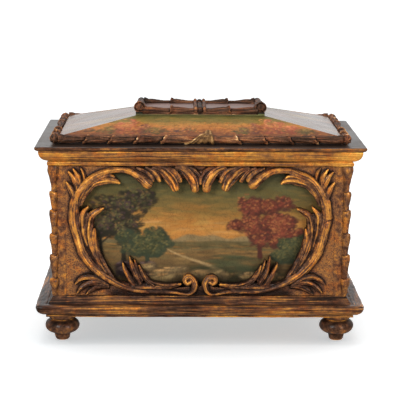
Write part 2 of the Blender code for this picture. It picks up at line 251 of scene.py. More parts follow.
def show(name, me, material, body, slot, *nodes):
    ob = bpy.data.objects.new(name, me)
    bpy.context.scene.collection.objects.link(ob)
    me.materials.clear()
    for m in material if isinstance(material, (list, tuple)) else [material]:
        me.materials.append(m)
    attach(ob, body)
    if nodes:
        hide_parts(*nodes)
    return ob


def spline(pts, step):
    """Smooth curve through the points; further columns are carried along."""
    p = np.asarray(pts, float)
    ext = np.vstack([2 * p[0] - p[1], p, 2 * p[-1] - p[-2]])
    seg = np.linalg.norm(np.diff(p[:, :2], axis=0), axis=1)
    out = []
    for i in range(len(p) - 1):
        n = max(2, int(math.ceil(seg[i] / step)))
        t = np.linspace(0, 1, n, endpoint=False)[:, None]
        a, b, c, d = ext[i], ext[i + 1], ext[i + 2], ext[i + 3]
        out.append(0.5 * (2 * b + (c - a) * t + (2 * a - 5 * b + 4 * c - d) * t ** 2
                          + (-a + 3 * b - 3 * c + d) * t ** 3))
    out.append(p[-1:])
    return np.vstack(out)


def waves(x, y, seed, scale, octaves=3):
    """Smooth seeded unevenness from sums of slanted sines, about -1 to 1."""
    r = np.random.default_rng(seed)
    out = np.zeros(np.broadcast(x, y).shape)
    total = 0.0
    for o in range(octaves):
        amp = 0.6 ** o
        for _ in range(4):
            a = r.uniform(0, 2 * math.pi)
            f = (2 * math.pi / scale) * (1.7 ** o) * r.uniform(0.7, 1.3)
            out = out + amp * np.sin(f * (x * math.cos(a) + y * math.sin(a)) + r.uniform(0, 2 * math.pi))
        total += amp * 2.0
    return out / total


# ----------------------------------------------------------------- materials
class Graph:
    """Small helper to write node materials."""

    def __init__(self, name):
        self.mat = bpy.data.materials.new(name)
        self.mat.use_nodes = True
        self.t = self.mat.node_tree
        self.t.nodes.clear()
        self.out = self.t.nodes.new("ShaderNodeOutputMaterial")
        self.coord = self.t.nodes.new("ShaderNodeTexCoord")
        self.place = self.coord.outputs["Object"]

    def node(self, kind, ins=None, **props):
        n = self.t.nodes.new(kind)
        for k, v in props.items():
            setattr(n, k, v)
        for k, v in (ins or {}).items():
            if isinstance(v, bpy.types.NodeSocket):
                self.t.links.new(v, n.inputs[k])
            elif v is not None:
                n.inputs[k].default_value = v
        return n

    def math(self, op, a, b=0.0, c=None, clamp=False):
        ins = {0: a, 1: b}
        if c is not None:
            ins[2] = c
        return self.node("ShaderNodeMath", ins, operation=op, use_clamp=clamp).outputs[0]

    def mul(self, a, b):
        return self.math("MULTIPLY", a, b)

    def add(self, a, b):
        return self.math("ADD", a, b)

    def sum(self, *terms):
        out = terms[0]
        for t in terms[1:]:
            out = self.add(out, t)
        return out

    def span(self, v, a, b, c=0.0, d=1.0):
        """v from a..b to c..d, held at the ends."""
        return self.node("ShaderNodeMapRange", {0: v, 1: a, 2: b, 3: c, 4: d}, interpolation_type="SMOOTHSTEP").outputs[0]

    def mapped(self, scale, rotation=(0, 0, 0), source=None):
        return self.node("ShaderNodeMapping", {"Vector": source or self.place, "Scale": scale, "Rotation": rotation}).outputs[0]

    def noise(self, scale, detail=3.0, rough=0.55, source=None, distort=0.0):
        return self.node("ShaderNodeTexNoise", {"Vector": source or self.place, "Scale": scale, "Detail": detail,
                                                "Roughness": rough, "Distortion": distort}).outputs[0]

    def cells(self, scale, source=None, feature="F1", rand=1.0):
        return self.node("ShaderNodeTexVoronoi", {"Vector": source or self.place, "Scale": scale, "Randomness": rand},
                         feature=feature).outputs["Distance"]

    def attr(self, name, out="Fac"):
        return self.node("ShaderNodeAttribute", attribute_name=name, attribute_type="GEOMETRY").outputs[out]

    def mix(self, f, a, b, blend="MIX"):
        n = self.node("ShaderNodeMix", {0: f, 6: a, 7: b}, data_type="RGBA", blend_type=blend)
        return n.outputs[2]

    def ramp(self, f, stops):
        n = self.node("ShaderNodeValToRGB", {0: f})
        els = n.color_ramp.elements
        els[0].position, els[0].color = stops[0][0], (*stops[0][1], 1)
        els[1].position, els[1].color = stops[-1][0], (*stops[-1][1], 1)
        for pos, col in stops[1:-1]:
            e = els.new(pos)
            e.color = (*col, 1)
        return n.outputs[0]

    def bump(self, height, strength, distance, normal=None):
        return self.node("ShaderNodeBump", {"Height": height, "Strength": strength, "Distance": distance,
                                            "Normal": normal}).outputs[0]

    def finish(self, **ins):
        b = self.node("ShaderNodeBsdfPrincipled")
        for k, v in ins.items():
            key = k.replace("_", " ")
            if isinstance(v, bpy.types.NodeSocket):
                self.t.links.new(v, b.inputs[key])
            else:
                b.inputs[key].default_value = v
        self.t.links.new(b.outputs[0], self.out.inputs[0])
        return self.mat


# leaf gold over red clay and dark wood; the ramp runs from painted shade in the hollows up to rubbed ridges with
# painted highlight
BLACK = (0.010, 0.0055, 0.004)
UMBER = (0.032, 0.0145, 0.008)
BROWN = (0.078, 0.034, 0.018)
CLAY = (0.155, 0.064, 0.022)
OLD_GOLD = (0.32, 0.130, 0.026)
GOLD = (0.60, 0.264, 0.045)
BRIGHT = (0.92, 0.475, 0.096)


def gilt(name, level=0.5, edge=0.35, hollow=0.10, patch=0.5, fine=0.35, streak=None, metal=0.45,
         stops=None, carved=False, rough=0.32, coat=0.12, grain=34.0, lip=0.0, own=False):
    g = Graph(name)
    e = g.attr("edge")
    h = g.attr("hollow")
    if streak:
        along = g.mapped(streak, source=g.attr("run", "Vector"))
        n1 = g.noise(1.0, 5.0, 0.62, along, 0.3)
    else:
        n1 = g.noise(grain, 4.0, 0.62, None, 0.6)
    n2 = g.noise(150.0, 4.0, 0.6)
    n3 = g.noise(800.0, 3.0, 0.6)
    big = g.noise(13.0, 2.0, 0.5)
    # convex edges lighter, fine creases darker: rubbed leaf with painted highlight, and painted shade in the creases
    rub_and_highlight = g.mul(g.math("MINIMUM", g.math("MAXIMUM", e, -0.35), 0.22), edge * 2.0)
    terms = [
        level,
        g.mul(rub_and_highlight, g.span(n2, 0.3, 0.7, 0.15, 1.15)),
        # painted shade in the hollows
        g.mul(g.math("MINIMUM", g.math("MAXIMUM", h, -3.0), 2.0), hollow),
        g.mul(g.add(n1, -0.5), g.mul(g.add(1.0, g.mul(g.attr("ground"), -0.80)), patch) if carved else patch),
        g.mul(g.add(n2, -0.5), g.mul(g.add(1.0, g.mul(g.attr("ground"), -0.45)), fine) if carved else fine),
        g.mul(g.add(n3, -0.5), fine * 0.85),
        g.mul(g.add(big, -0.5), g.mul(g.add(1.0, g.mul(g.attr("ground"), -0.6)), patch * 0.5) if carved else patch * 0.5),
    ]
    height = g.sum(g.mul(n2, 0.6), g.mul(n3, 0.3))
    if carved:
        flat = g.attr("ground")
        dots = g.cells(430.0, rand=0.8)
        pit = g.span(dots, 0.12, 0.45, 0.0, 1.0)
        # punched ground, with painted shade on it next to the carving and along the bottom
        terms.append(g.mul(flat, g.sum(g.mul(pit, 0.15), 0.10, g.mul(g.attr("near"), -0.19))))
        # painted shade down the relief towards the ground and on the walls of the opening, lighter on its high parts
        terms.append(g.mul(g.add(g.attr("lift"), -0.7), 0.19))
        terms.append(g.mul(g.attr("inner"), -0.09))
        # painted highlight along each strand's crest and painted shade at its foot, patchy, plus each strand's own tone
        terms.append(g.mul(g.add(1.0, g.mul(flat, -1.0)), g.add(g.attr("tone"), g.mul(g.add(g.attr("crest"), -0.5), g.span(g.noise(62.0, 3.0, 0.6, None, 0.5), 0.36, 0.64, 0.12, 0.54)))))
        # fine strokes of the tool along each strand
        fibre = g.noise(1.0, 3.0, 0.6, g.mapped((0.56, 0.030, 1.0), source=g.attr("grain", "Vector")), 0.2)
        terms.append(g.mul(g.add(1.0, g.mul(flat, -1.0)), g.mul(g.add(fibre, -0.5), 1.45)))
        height = g.sum(height, g.mul(g.mul(pit, flat), 1.3), g.mul(fibre, 0.8))
    if own:
        terms.append(g.attr("tone"))
    if lip:
        # lip: painted highlight on husk rims and painted shade in their mouths, with the tone of bands, ends and cloth
        terms.append(g.mul(g.mul(g.attr("lip"), lip), g.span(n2, 0.3, 0.7, 0.1, 1.2)))
    level_in = g.sum(*terms)
    col = g.ramp(level_in, stops or [(0.0, BLACK), (0.18, UMBER), (0.36, BROWN), (0.48, CLAY), (0.62, OLD_GOLD),
                                     (0.78, GOLD), (1.0, BRIGHT)])
    # redder where the clay shows through the leaf
    red = g.noise(75.0, 3.0, 0.6, None, 0.4)
    col = g.mix(g.span(red, 0.46, 0.66, 0.0, 0.75), col, g.mix(1.0, col, (1.04, 0.76, 0.62, 1), "MULTIPLY"))
    met = g.span(level_in, 0.48, 0.80, 0.0, metal)
    rou = g.sum(rough, g.mul(g.add(n2, -0.5), 0.30), g.mul(g.span(level_in, 0.4, 0.9), -0.06))
    if lip:
        col = g.mix(g.attr("cloth"), col, g.ramp(g.add(level_in, 0.08), [(0.0, BLACK), (0.3, (0.036, 0.018, 0.009)), (0.52, (0.112, 0.056, 0.021)),
                                                                        (0.76, (0.27, 0.142, 0.050)), (1.0, (0.62, 0.40, 0.19))]))
    return g.finish(Base_Color=col, Metallic=met, Roughness=rou, Specular_IOR_Level=0.07, Coat_Weight=coat,
                    Coat_Roughness=0.14, Normal=g.bump(height, 0.5, 0.0007))


def varnish(name, dark, light, grain=(14.0, 300.0, 300.0), rough=0.24, coat=0.35, bump=0.06, smear=None, shiny=0.5):
    g = Graph(name)
    fibre = g.noise(1.0, 5.0, 0.65, g.mapped(grain), 0.4)
    pores = g.noise(1.0, 3.0, 0.7, g.mapped(tuple(2.6 * s for s in grain)))
    cloud = g.noise(18.0, 3.0, 0.55)
    spots = g.noise(240.0, 2.0, 0.6)
    f = g.sum(g.mul(fibre, 0.75), g.mul(g.add(cloud, -0.5), 0.8), g.mul(g.add(pores, -0.5), 0.5))
    col = g.mix(g.span(f, 0.2, 0.75), (*dark, 1), (*light, 1))
    if smear:
        # worn streaks, on the outside only
        outer = g.span(g.node("ShaderNodeSeparateXYZ", {0: g.coord.outputs["Normal"]}).outputs[2], -0.05, 0.1)
        col = g.mix(g.mul(outer, g.span(g.noise(1.0, 4.0, 0.6, g.mapped((16.0, 90.0, 90.0)), 0.5), 0.46, 0.68, 0.0, 0.6)), col, (*smear, 1))
        col = g.mix(g.mul(outer, g.span(g.noise(1.0, 4.0, 0.6, g.mapped((13.0, 52.0, 52.0)), 0.5), 0.52, 0.70, 0.0, 0.4)), col, (0.42, 0.30, 0.11, 1))
    col = g.mix(g.span(spots, 0.66, 0.75, 0.0, 0.35), col, (0.02, 0.014, 0.012, 1))
    rou = g.sum(rough, g.mul(g.add(cloud, -0.5), 0.22), g.mul(g.add(spots, -0.5), 0.10))
    height = g.sum(g.mul(cloud, 0.7), g.mul(pores, 0.18))
    # dull streaks where the varnish has worn thin
    dull = g.noise(1.0, 4.0, 0.6, g.mapped(tuple(max(0.28 * s, 6.0) for s in grain)), 0.4)
    shine = g.span(g.sum(g.mul(dull, 0.7), g.mul(cloud, 0.3)), 0.42, 0.60, shiny, 0.48 * shiny)
    return g.finish(Base_Color=col, Roughness=rou, Specular_IOR_Level=shine, Coat_Weight=coat, Coat_Roughness=0.16,
                    Normal=g.bump(height, bump, 0.002))


def plain_wood(name, dark, light, grain, rough=0.6):
    g = Graph(name)
    bend = g.noise(9.0, 2.0, 0.5)
    warped = g.node("ShaderNodeVectorMath", {0: g.mapped(grain), 1: g.node("ShaderNodeCombineXYZ", {0: 0.0, 1: g.mul(bend, 1.6), 2: g.mul(bend, 1.6)}).outputs[0]}, operation="ADD").outputs[0]
    fibre = g.noise(1.0, 6.0, 0.66, warped, 0.6)
    pores = g.noise(1.0, 2.0, 0.7, g.mapped(tuple(3.3 * s for s in grain)))
    stain = g.noise(14.0, 3.0, 0.55)
    f = g.sum(fibre, g.mul(g.add(stain, -0.5), 0.5))
    col = g.mix(g.span(f, 0.28, 0.72), (*dark, 1), (*light, 1))
    col = g.mix(g.span(pores, 0.62, 0.72, 0.0, 0.5), col, (*[0.45 * c for c in dark], 1))
    rou = g.add(rough, g.mul(g.add(fibre, -0.5), 0.25))
    return g.finish(Base_Color=col, Roughness=rou, Specular_IOR_Level=0.35,
                    Normal=g.bump(g.add(g.mul(fibre, 0.4), g.mul(pores, 0.4)), 0.18, 0.0007))


def aged_brass(name, light, dark, rough=0.36):
    g = Graph(name)
    blot = g.noise(160.0, 4.0, 0.6)
    fine = g.noise(1400.0, 3.0, 0.6)
    scratch = g.noise(1.0, 2.0, 0.6, g.mapped((120.0, 2600.0, 2600.0)))
    f = g.sum(blot, g.mul(g.add(fine, -0.5), 0.4), g.mul(g.add(scratch, -0.5), 0.25))
    col = g.mix(g.span(f, 0.34, 0.66), (*light, 1), (*dark, 1))
    rou = g.sum(rough, g.mul(g.add(f, -0.5), 0.4))
    return g.finish(Base_Color=col, Metallic=0.9, Roughness=rou,
                    Normal=g.bump(g.add(fine, g.mul(scratch, 0.7)), 0.12, 0.0003))


def painting(name):
    """Old oil paint under a yellowed glossy varnish, with fine age cracks."""
    g = Graph(name)
    col = g.attr("paint", "Color")
    weave = g.noise(520.0, 3.0, 0.6)
    crack = g.cells(150.0, g.node("ShaderNodeVectorMath", {0: g.place, 1: g.node("ShaderNodeVectorMath", {0: g.node("ShaderNodeTexNoise", {"Vector": g.place, "Scale": 300.0}).outputs["Color"], "Scale": 0.004}, operation="SCALE").outputs[0]}, operation="ADD").outputs[0], "DISTANCE_TO_EDGE")
    line = g.span(crack, 0.0, 0.05, 1.0, 0.0)
    grime = g.noise(26.0, 4.0, 0.6)
    col = g.mix(g.mul(line, 0.30), col, (0.02, 0.014, 0.008, 1))
    col = g.mix(g.span(grime, 0.45, 0.8, 0.0, 0.35), col, g.mix(1.0, col, (0.62, 0.52, 0.34, 1), "MULTIPLY"))
    col = g.mix(g.span(weave, 0.35, 0.7, 0.0, 0.25), col, g.mix(1.0, col, (0.72, 0.72, 0.72, 1), "MULTIPLY"))
    rou = g.sum(0.34, g.mul(g.add(grime, -0.5), 0.2), g.mul(line, 0.2))
    height = g.sum(g.attr("relief"), g.mul(weave, 0.25), g.mul(line, -0.5))
    return g.finish(Base_Color=col, Roughness=rou, Specular_IOR_Level=0.10,
                    Normal=g.bump(height, 0.22, 0.0005))


CARVED = gilt("gilt_carving", level=0.375, edge=0.45, hollow=0.10, patch=0.62, fine=0.55, carved=True, grain=120.0, metal=0.30, rough=0.40, coat=0.03,
              stops=[(0.0, BLACK), (0.18, UMBER), (0.36, BROWN), (0.48, CLAY), (0.62, OLD_GOLD), (0.80, (0.50, 0.212, 0.038)), (1.0, (0.72, 0.36, 0.076))])
CORNICE_M = gilt("gilt_cornice", own=True, level=0.555, edge=0.35, hollow=0.08, patch=1.85, fine=0.46, streak=(0.020, 0.60, 1.0))
BASE_M = gilt("gilt_base", level=0.335, edge=0.30, hollow=0.12, patch=2.16, fine=0.46, own=True, streak=(0.022, 0.55, 1.0))
POST_M = gilt("gilt_posts", level=0.45, edge=0.22, hollow=0.13, patch=0.62, fine=0.7, grain=130.0)
FOOT_M = gilt("gilt_feet", level=0.29, edge=0.5, hollow=0.10, patch=0.9, fine=0.6, rough=0.38, coat=0.05, grain=85.0, own=True)
GARLAND_M = gilt("garland_gilt", level=0.38, edge=0.35, hollow=0.16, patch=1.3, fine=0.5, metal=0.2, rough=0.50, coat=0.0, lip=0.33, streak=(0.040, 0.42, 1.0),
                 stops=[(0.0, BLACK), (0.2, (0.024, 0.012, 0.007)), (0.36, (0.066, 0.030, 0.016)), (0.50, (0.140, 0.055, 0.027)),
                        (0.64, (0.25, 0.106, 0.040)), (0.80, (0.45, 0.26, 0.110)), (1.0, (0.80, 0.64, 0.43))])
EDGE_M = gilt("gilt_ledge_edge", level=0.30, edge=0.35, hollow=0.05, patch=1.5, fine=0.45, streak=(0.022, 0.55, 1.0))
VARNISH_X = varnish("varnish_long", (0.020, 0.012, 0.009), (0.062, 0.034, 0.022), rough=0.34, coat=0.03, shiny=0.42)
VARNISH_Y = varnish("varnish_cross", (0.020, 0.012, 0.009), (0.062, 0.034, 0.022), grain=(300.0, 14.0, 300.0), rough=0.34, coat=0.03, shiny=0.42)
LID_SIDE = varnish("varnish_lid", (0.060, 0.036, 0.024), (0.16, 0.10, 0.062), grain=(14.0, 300.0, 300.0), rough=0.22, coat=0.10, bump=0.05, smear=(0.26, 0.10, 0.055))
# the flat top is paler and pinker than the other boards, partly a painted reflection of the sheen it shows
LID_TOP = varnish("varnish_lid_top", (0.13, 0.070, 0.056), (0.26, 0.165, 0.145), rough=0.46, coat=0.0, bump=0.04, shiny=0.36)
INSIDE_X = plain_wood("inside_wood_long", (0.075, 0.040, 0.021), (0.20, 0.115, 0.060), (11.0, 170.0, 170.0))
INSIDE_Y = plain_wood("inside_wood_cross", (0.075, 0.040, 0.021), (0.20, 0.115, 0.060), (170.0, 11.0, 170.0))
BRASS = aged_brass("hinge_brass_aged", (0.46, 0.31, 0.12), (0.16, 0.095, 0.04))
SCREW_BRASS = aged_brass("screw_brass_aged", (0.42, 0.30, 0.13), (0.13, 0.085, 0.045), 0.32)
PAINTED = painting("old_painting")

# ----------------------------------------------------------------- carving
# The drawing of the cartouche: x and y on a 400-unit sheet, half width, crest
# height over the ground in mm. The left half is drawn; the right one mirrors it.
MID = 200.4
UNIT_X, UNIT_Z = 1.2246, 1.2536


def on_board(p):
    p = np.asarray(p, float)
    out = p.copy()
    out[:, 0] = (p[:, 0] - MID) * UNIT_X
    out[:, 1] = 221.18 - (p[:, 1] - 166.0) * UNIT_Z
    out[:, 2] = p[:, 2] * 1.24
    return out


ACROSS = np.sin(np.linspace(-math.pi / 2, math.pi / 2, 27))
ROUND = np.sqrt(np.maximum(0.0, 1 - ACROSS ** 2))


def groove(at, width):
    return np.exp(-((ACROSS - at) / width) ** 2)


SECTION = {
    "round": ROUND,
    "vein": ROUND - 0.18 * groove(0.22, 0.16) - 0.10 * groove(-0.45, 0.14),
    "flutes": ROUND - 0.20 * (groove(-0.42, 0.16) + groove(0.42, 0.16)),
    "offset": ROUND - 0.18 * groove(0.45, 0.17) - 0.08 * groove(-0.35, 0.13),
    "ridge": 1 - np.abs(ACROSS) ** 1.25,
    "leaf": (np.maximum(0.0, 1 - np.abs(ACROSS) ** 3.0) ** 0.55 - ROUND * (0.17 * np.clip(ACROSS + 0.1, 0, 1)
             + 0.07 * groove(-0.52, 0.12) + 0.09 * groove(-0.06, 0.12) + 0.13 * groove(0.32, 0.12) + 0.11 * groove(0.66, 0.11))),
    "scoop": np.minimum(ROUND * 2.2, 0.55 + 0.45 * ACROSS ** 2),
}

SECTION["leaf_back"] = SECTION["leaf"][::-1]
LEAN = {"leaf": -0.18, "leaf_back": 0.18}  # where the crest of a one-sided section lies

STEM = [
    (78.5, 193.5, 4.4, 6.4), (75.3, 203.0, 5.2, 7.2), (73.6, 215.5, 5.8, 8.0), (75.0, 226.0, 5.5, 8.4),
    (77.8, 236.0, 5.3, 8.4), (81.9, 249.7, 5.5, 8.6), (86.5, 258.5, 5.2, 8.6), (93.0, 266.5, 4.7, 8.2),
    (100.5, 273.5, 4.3, 8.0), (109.5, 279.6, 3.9, 7.6), (119.5, 284.8, 3.4, 7.0), (131.0, 288.9, 2.8, 6.4),
    (143.0, 291.0, 2.5, 6.0), (155.0, 291.6, 2.3, 5.6), (166.0, 291.6, 2.1, 5.4), (176.0, 292.4, 1.9, 5.4),
    (184.0, 294.2, 1.5, 5.6),
]
SCROLL = [
    (76.8, 206.0, 4.0, 6.2), (78.6, 196.5, 5.0, 7.6), (83.0, 188.6, 5.0, 8.2), (90.0, 180.8, 4.4, 8.0),
    (99.6, 174.9, 3.7, 7.4), (110.5, 171.2, 3.1, 6.6), (121.0, 170.6, 3.1, 6.4), (130.5, 172.2, 3.7, 7.2),
    (138.5, 176.4, 4.4, 8.4), (144.5, 180.8, 5.0, 9.6), (148.0, 183.8, 4.7, 10.2),
]
# path, section, whether the end is a rounded knob, and how much lighter or darker it is
STROKES = [
    (STEM, "leaf", False),
    (SCROLL, "leaf_back", True),
    ([(136.5, 175.0, 3.2, 7.6), (143.0, 179.6, 4.8, 9.8), (147.8, 183.8, 5.2, 11.0)], "flutes", True, -0.03),
    # strand inside the upper scroll
    ([(81.0, 205.5, 1.6, 4.0), (83.5, 198.0, 2.6, 4.8), (88.0, 190.5, 3.6, 5.4), (94.5, 184.2, 4.2, 6.0),
      (102.0, 181.0, 4.8, 6.4), (110.0, 180.2, 4.2, 6.4), (116.0, 181.3, 2.8, 6.0), (120.4, 183.8, 0.7, 5.6)], "flutes", False, -0.02),
    ([(84.4, 195.6, 1.2, 5.0), (89.6, 186.6, 2.0, 5.6), (97.0, 180.2, 2.5, 6.2), (105.0, 176.6, 2.3, 6.2), (111.6, 176.2, 1.5, 6.0),
      (115.8, 177.6, 0.6, 5.6)], "vein", False, -0.05),
    # spray outside the upper corner
    ([(79.0, 196.0, 3.0, 5.0), (77.8, 186.0, 3.5, 6.6), (74.0, 178.0, 2.9, 7.2), (68.6, 171.4, 0.8, 6.8)], "vein", False),
    ([(79.6, 190.0, 2.4, 5.0), (79.5, 181.5, 2.7, 6.4), (77.6, 175.0, 2.3, 6.8), (73.8, 168.8, 0.7, 6.2)], "vein", False),
    ([(75.5, 202.0, 3.0, 5.0), (73.0, 193.0, 3.3, 6.0), (70.0, 187.0, 2.5, 6.2), (66.6, 181.8, 0.7, 5.6)], "vein", False),
    ([(84.0, 187.4, 1.8, 3.6), (85.0, 179.8, 2.3, 4.2), (83.6, 173.0, 1.9, 4.2), (80.6, 167.6, 0.5, 3.8)], "ridge", False),
    # leaf inside the stem
    ([(110.5, 277.0, 3.6, 2.8), (99.0, 263.0, 6.4, 3.6), (91.8, 249.0, 7.2, 4.0), (88.2, 235.0, 6.6, 4.2),
      (87.0, 222.0, 5.0, 4.2), (88.0, 213.0, 1.8, 4.0)], "flutes", False, -0.07),
    ([(87.5, 246.0, 3.0, 5.2), (84.2, 234.0, 4.4, 6.0), (82.4, 224.5, 4.6, 6.4), (82.8, 216.5, 4.0, 6.8),
      (84.8, 211.0, 2.6, 7.0), (88.6, 206.4, 0.7, 7.0)], "flutes", False),
    ([(100.0, 264.0, 3.2, 5.0), (92.6, 251.0, 4.7, 5.8), (88.8, 238.0, 5.0, 6.2), (88.6, 226.5, 4.9, 6.4),
      (90.8, 217.5, 4.4, 6.8), (95.6, 212.1, 3.3, 7.4), (104.0, 207.8, 0.8, 7.6)], "flutes", False),
    ([(106.0, 273.0, 3.0, 4.4), (98.6, 259.5, 4.2, 5.2), (94.6, 246.5, 4.2, 5.6), (93.8, 236.0, 3.2, 5.8),
      (94.6, 228.0, 0.7, 5.8)], "vein", False),
    ([(112.5, 278.0, 2.2, 3.8), (105.7, 268.0, 3.0, 4.2), (100.0, 256.5, 2.9, 4.2), (96.6, 247.0, 2.0, 4.4),
      (95.8, 239.6, 0.6, 4.6)], "vein", False),
    # leaf inside the bottom run
    ([(112.0, 281.6, 2.0, 5.0), (124.0, 285.8, 3.6, 5.2), (136.0, 287.4, 4.7, 5.2), (148.0, 287.4, 5.0, 5.2),
      (160.0, 287.4, 4.2, 5.2), (171.0, 286.2, 2.9, 5.4), (180.6, 284.6, 1.3, 6.0)], "flutes", True),
    ([(134.0, 285.5, 3.0, 5.2), (129.0, 277.0, 3.0, 5.6), (125.0, 270.0, 2.2, 5.8), (122.4, 262.6, 0.5, 6.0)], "vein", False),
    ([(140.5, 284.5, 3.0, 5.4), (134.7, 273.0, 3.0, 6.0), (131.8, 265.0, 2.2, 6.2), (129.8, 256.2, 0.5, 6.4)], "vein", False),
    ([(143.0, 281.0, 2.3, 4.6), (137.6, 270.0, 2.1, 5.0), (134.6, 259.6, 0.5, 5.2)], "ridge", False),
    ([(154.0, 286.0, 2.9, 5.4), (146.4, 278.8, 3.0, 6.0), (142.0, 272.0, 2.3, 6.2), (139.0, 264.6, 0.5, 6.4)], "vein", False),
    ([(145.0, 277.0, 0.9, 6.0), (152.0, 282.0, 1.6, 6.2), (162.0, 284.6, 1.6, 6.2), (172.0, 284.6, 1.4, 6.2),
      (180.0, 283.6, 0.9, 6.4)], "ridge", False),
    # volute, on a rounded boss
    ([(186.4, 281.4, 4.4, 3.8), (189.6, 281.4, 6.2, 4.6), (192.0, 281.4, 4.8, 4.0)], "round", True),
    ([(180.0, 293.2, 1.2, 5.4), (186.6, 294.4, 1.9, 6.2), (190.8, 293.0, 2.4, 7.2), (194.0, 289.4, 3.0, 8.0),
      (195.0, 284.0, 3.3, 8.4), (193.0, 278.9, 3.2, 8.4), (189.2, 276.6, 2.9, 8.2), (185.7, 277.9, 2.6, 8.2),
      (185.2, 281.2, 2.3, 8.4), (187.6, 283.2, 2.1, 8.8), (189.8, 281.8, 2.1, 9.4)], "round", True),
    # spray outside the lower corner
    ([(106.0, 283.5, 3.0, 5.4), (97.0, 278.6, 3.7, 6.4), (87.0, 276.9, 3.2, 6.6), (80.0, 279.2, 2.4, 6.4),
      (74.4, 284.0, 0.7, 5.8)], "vein", False),
    ([(107.0, 285.0, 3.0, 5.2), (96.0, 282.8, 3.4, 6.2), (87.0, 284.0, 2.9, 6.2), (81.0, 288.0, 2.2, 5.8),
      (76.8, 293.4, 0.6, 5.2)], "vein", False),
    ([(109.0, 286.0, 2.8, 4.8), (99.0, 286.7, 3.1, 5.6), (91.0, 289.7, 2.4, 5.4), (85.6, 295.0, 0.6, 4.6)], "vein", False),
    # leaves hanging from the top, on a low bed
    ([(131.0, 170.0, 3.2, 2.4), (146.0, 172.4, 6.0, 3.2), (160.0, 173.2, 6.8, 3.6), (176.0, 173.4, 6.8, 3.6),
      (190.0, 174.0, 6.8, 3.6), (202.0, 174.4, 6.8, 3.6)], "round", False, -0.14),
    ([(136.5, 168.2, 2.0, 4.6), (145.0, 171.6, 3.0, 6.2), (150.4, 175.8, 3.0, 7.0), (152.6, 179.6, 2.4, 7.0)], "vein", True, -0.15),
    ([(145.0, 167.6, 2.0, 4.2), (153.0, 171.5, 2.8, 5.6), (157.4, 176.2, 2.8, 6.4), (159.6, 180.4, 2.2, 6.4)], "vein", True, -0.15),
    ([(152.0, 167.2, 3.2, 4.8), (161.0, 169.8, 5.2, 7.0), (168.0, 175.4, 6.1, 8.8), (172.8, 181.8, 5.9, 9.8),
      (174.8, 186.4, 5.0, 10.4)], "flutes", True, -0.04),
    ([(163.0, 167.2, 2.0, 4.4), (172.6, 170.8, 2.9, 6.0), (178.0, 175.8, 3.0, 7.0), (180.2, 180.6, 2.3, 7.0)], "vein", True, -0.15),
]
STROKES_TOP = [  # the pair on the middle line, on the long sides only
    ([(175.0, 167.0, 3.2, 4.8), (183.4, 169.8, 5.0, 7.0), (189.8, 175.4, 5.6, 8.8), (193.8, 182.4, 5.2, 9.8),
      (194.6, 187.6, 4.6, 10.4)], "flutes", True, -0.04),
    ([(186.0, 167.0, 1.8, 4.4), (194.0, 170.4, 2.5, 6.0), (199.2, 176.8, 2.1, 7.0), (200.0, 183.0, 1.5, 7.0)], "vein", True, -0.15),
]
EDGE = [  # where the ground board ends, under the stems
    (200.4, 171.0), (188.0, 170.6), (176.0, 170.6), (164.0, 170.6), (152.0, 170.4), (140.0, 173.4), (132.2, 171.3),
    (122.9, 169.8), (111.8, 170.8), (101.6, 173.8), (90.5, 180.2), (83.6, 187.6), (78.6, 195.6), (75.6, 204.3),
    (74.0, 215.5), (75.2, 226.0), (78.0, 236.0), (82.1, 249.7), (86.7, 258.4), (93.2, 266.4), (100.7, 273.3),
    (109.6, 279.4), (119.6, 284.6), (131.0, 288.2), (143.0, 289.6), (153.4, 290.0), (164.5, 289.6), (174.5, 288.6),
    (182.0, 288.0), (190.0, 287.4), (200.4, 286.6),
]
BACK = FRAME_IN + 0.1


def centre_line(path, knob):
    c = spline(path, 0.9)
    if knob:
        t = np.linspace(0, 1, 9)[1:]
        fall = np.sqrt(np.maximum(0.0, 1 - t ** 2))
        run = c[-1, :2] - c[-3, :2]
        run = run / np.linalg.norm(run)
        end = np.repeat(c[-1:], len(t), axis=0)
        end[:, :2] += run * (c[-1, 2] * t)[:, None]
        end[:, 2] *= np.maximum(fall, 0.1)
        end[:, 3] -= c[-1, 2] * 0.9 * (1 - fall)
        c = np.vstack([c, end])
    return c


def stroke(c, section, seed, hand):
    """One carved strand: a swept section with a flat back, as rings of (x, n, z). hand -1 mirrors it."""
    r = np.random.default_rng(seed)
    xz, top = c[:, :2], c[:, 3]
    arc = np.concatenate([[0], np.cumsum(np.linalg.norm(np.diff(xz, axis=0), axis=1))])
    ease = np.clip(np.minimum(arc, arc[-1] - arc) / 6.0, 0, 1)
    w = np.maximum(c[:, 2], 0.35) * (1 + 0.08 * ease * np.sin(arc / r.uniform(2.4, 4.6) + r.uniform(0, 6)))
    top = top + 0.35 * ease * np.sin(arc / r.uniform(2.6, 4.4) + r.uniform(0, 6))
    tan = np.gradient(xz, axis=0)
    tan /= np.maximum(np.linalg.norm(tan, axis=1), 1e-6)[:, None]
    lat = np.stack([-tan[:, 1], tan[:, 0]], 1)
    drop = np.minimum(w * 1.15, np.maximum(top - BACK - 0.6, 0.5))
    f = SECTION[section][::hand]
    ph, kk = r.uniform(0, 6.28), r.uniform(7.5, 10.5)
    cut = np.clip(w / 3.0, 0, 1) * 0.48
    rings = np.zeros((len(c), len(ACROSS) + 3, 3))
    for j, s in enumerate(ACROSS):
        rings[:, j, 0::2] = xz + lat * (s * w)[:, None]
        rings[:, j, 1] = top - drop * (1 - f[j]) + cut * ROUND[j] * np.sin(kk * s * hand + ph + 0.09 * arc)
    for j, s in enumerate((0.86, 0.0, -0.86)):
        rings[:, len(ACROSS) + j, 0::2] = xz + lat * (s * w)[:, None]
        rings[:, len(ACROSS) + j, 1] = BACK
    return tube(rings)


